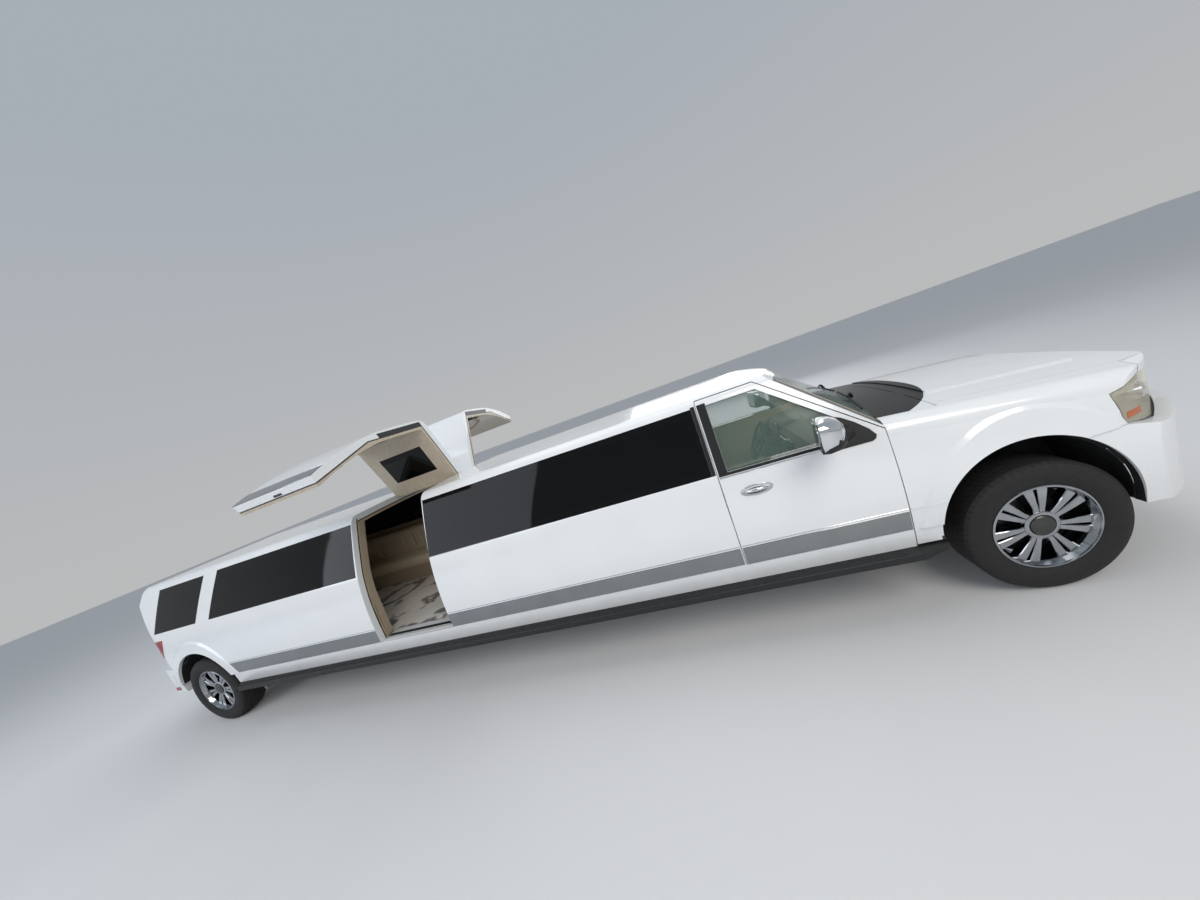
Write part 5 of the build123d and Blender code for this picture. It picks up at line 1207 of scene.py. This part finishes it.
# %% Repeats along a line
def repeated(name, low, high, radius, start, step, count, material, body="body"):
    """A small block repeated along a line by Geometry Nodes, then made one mesh."""
    item = rounded(f"{name}_item", low, high, radius, material, counts=(2, 2, 2))
    group = bpy.data.node_groups.new(f"{name}_line", "GeometryNodeTree")
    for label, kind in (("Count", "Int"), ("Start", "Vector"), ("Step", "Vector"), ("Block", "Object"),
                        ("Material", "Material")):
        group.interface.new_socket(label, in_out="INPUT", socket_type=f"NodeSocket{kind}")
    group.interface.new_socket("Geometry", in_out="OUTPUT", socket_type="NodeSocketGeometry")
    given = group.nodes.new("NodeGroupInput")
    result = group.nodes.new("NodeGroupOutput")
    line = add_node(group, "GeometryNodeMeshLine", {"Count": given.outputs["Count"],
                                                    "Start Location": given.outputs["Start"],
                                                    "Offset": given.outputs["Step"]})
    block = add_node(group, "GeometryNodeObjectInfo", {"Object": given.outputs["Block"]})
    spread = add_node(group, "GeometryNodeInstanceOnPoints", {"Points": line.outputs[0],
                                                              "Instance": block.outputs["Geometry"]})
    real = add_node(group, "GeometryNodeRealizeInstances", {"Geometry": spread.outputs[0]})
    painted = add_node(group, "GeometryNodeSetMaterial", {"Geometry": real.outputs[0],
                                                          "Material": given.outputs["Material"]})
    group.links.new(painted.outputs[0], result.inputs[0])
    carrier = bpy.data.objects.new(f"{name}_carrier", bpy.data.meshes.new(f"{name}_carrier"))
    bpy.context.scene.collection.objects.link(carrier)
    modifier = carrier.modifiers.new("repeat", "NODES")
    modifier.node_group = group
    names = {socket.name: socket.identifier for socket in group.interface.items_tree if socket.in_out == "INPUT"}
    for label, value in (("Count", count), ("Start", start), ("Step", step), ("Block", item),
                         ("Material", material)):
        modifier[names[label]] = value
    bpy.context.view_layer.update()
    graph = bpy.context.evaluated_depsgraph_get()
    mesh = bpy.data.meshes.new_from_object(carrier.evaluated_get(graph))
    piece = bpy.data.objects.new(name, mesh)
    bpy.context.scene.collection.objects.link(piece)
    bpy.data.objects.remove(carrier)
    bpy.data.objects.remove(item)
    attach(piece, body)
    return piece


# %% Ribs and edges of the boards
BOARD_FRONT_X, BOARD_REAR_X = FRONT_AXLE_X - 0.5, REAR_AXLE_X + 0.5
RIB_STEP, RIB_HALF = 0.03, 0.007
rib_count = int((BOARD_FRONT_X - BOARD_REAR_X - 0.34) / RIB_STEP)
for side, sign in SIDES.items():
    ribs = repeated(f"board_ribs_{side}", (-RIB_HALF, sign * 0.998, 0.4545), (RIB_HALF, sign * 1.062, 0.4575),
                    0.0012, (BOARD_REAR_X + 0.12, 0, 0), (RIB_STEP, 0, 0), rib_count, black_plastic)
    print(ribs.name, len(ribs.data.polygons))
    rounded(f"board_edge_{side}", (BOARD_REAR_X + 0.1, sign * 1.068, 0.43),
            (BOARD_FRONT_X - 0.17, sign * 1.0748, 0.4585), 0.003, dark_steel)

# %% [markdown]
# ## Pull and latch of the roof doors
# A padded strap on the lining pulls the door down, and a steel latch sits at its lower edge. Both are bars
# drawn with the door shut and then turned up with it.

# %% Pulls and latches
for side, sign in SIDES.items():
    pull = arc_points((JET_REAR_X + 0.2, sign * 0.892, 0.98), (JET_REAR_X + 0.4, sign * 0.84, 1.04),
                      (JET_REAR_X + 0.58, sign * 0.892, 1.08), 11)
    tube(f"jet_pull_{side}", lifted(pull, sign), 0.013, bench_leather, f"jet_door_{side}", 10)
    latch = [(JET_REAR_X + 0.36, sign * 0.95, 0.59), (JET_REAR_X + 0.44, sign * 0.95, 0.59)]
    tube(f"jet_latch_{side}", lifted(latch, sign), 0.012, dark_steel, f"jet_door_{side}", 8)

# %% [markdown]
# ## Camera
# The camera's place and angles were worked out from the photograph. It stands close to the vehicle, looks
# slightly down through a very wide lens, and is held at a slant, which the roll angle keeps.

# %% Camera
SENSOR = 36.0
CAMERA_AT = Vector((2.3186, -3.5394, 2.0436))
YAW, PITCH, ROLL = 0.28367, -0.13551, -0.35918
FOCAL_PIXELS, PHOTO_WIDTH = 373.73, 1200

ahead = Vector((-math.sin(YAW) * math.cos(PITCH), math.cos(YAW) * math.cos(PITCH), math.sin(PITCH)))
right = Vector((math.cos(YAW), math.sin(YAW), 0))
up = right.cross(ahead)
camera_x = math.cos(ROLL) * right + math.sin(ROLL) * up
camera_y = -math.sin(ROLL) * right + math.cos(ROLL) * up
camera_turn = Matrix((camera_x, camera_y, -ahead)).transposed().to_4x4()
camera = bpy.data.objects.new("camera", bpy.data.cameras.new("camera"))
camera.data.sensor_width = SENSOR
camera.data.lens = FOCAL_PIXELS / PHOTO_WIDTH * SENSOR
camera.matrix_world = Matrix.Translation(CAMERA_AT) @ camera_turn
bpy.context.scene.collection.objects.link(camera)
bpy.context.scene.camera = camera
bpy.context.scene.view_settings.view_transform = "Standard"
print("camera lens", round(camera.data.lens, 3))

# %% [markdown]
# ## Studio
# White paint needs something to mirror, so the vehicle stands on a pale floor under a pale sky that is a little
# bluer above. Four large soft lights stand round it: a warm one ahead on the right, a cool one behind it, a
# plain one on the left and one above. Small lights would put hard dots on the enamel.

# %% Floor and sky
floor_paint = surface("studio_floor", "#D9DADB", "#D2D3D5", (0.5, 0.65), 0.7)
floor_mesh = bpy.data.meshes.new("floor")
floor_mesh.from_pydata([(-60, -60, 0), (60, -60, 0), (60, 60, 0), (-60, 60, 0)], [], [(0, 1, 2, 3)])
floor_mesh.materials.append(floor_paint)
floor = bpy.data.objects.new("floor", floor_mesh)
floor.location.z = -0.002
bpy.context.scene.collection.objects.link(floor)

world = bpy.data.worlds.new("studio")
bpy.context.scene.world = world
world.use_nodes = True
sky = world.node_tree
height = add_node(sky, "ShaderNodeSeparateXYZ", {0: add_node(sky, "ShaderNodeTexCoord").outputs["Generated"]})
sky_ramp = add_node(sky, "ShaderNodeValToRGB", {"Fac": height.outputs[2]})
sky_ramp.color_ramp.elements[0].color = srgb("#E6E7E8")
sky_ramp.color_ramp.elements[1].position = 0.6
sky_ramp.color_ramp.elements[1].color = srgb("#CFD8E2")
sky.links.new(sky_ramp.outputs[0], sky.nodes["Background"].inputs["Color"])
sky.nodes["Background"].inputs["Strength"].default_value = 0.62
print("sky strength", round(sky.nodes["Background"].inputs["Strength"].default_value, 2))


# %% Lights
def area_light(name, place, target, size, power, tint="#FFFFFF"):
    """A large soft light that looks at a target."""
    light = bpy.data.lights.new(name, "AREA")
    light.shape, light.size, light.energy = "SQUARE", size, power
    light.color = srgb(tint)[:3]
    lamp = bpy.data.objects.new(name, light)
    lamp.location = place
    lamp.rotation_euler = (Vector(target) - Vector(place)).to_track_quat("-Z", "Y").to_euler()
    bpy.context.scene.collection.objects.link(lamp)


area_light("key", (7, -9, 9), (0, 0, 0.8), 7, 760, "#FFF8EE")
area_light("fill", (-9, -10, 6), (-2, 0, 0.8), 8, 500, "#EEF4FF")
area_light("top", (0, 2, 11), (0, 0, 0), 10, 320)
area_light("back", (3, 11, 6), (0, 0, 1), 8, 320)
print("lights", len(bpy.data.lights))
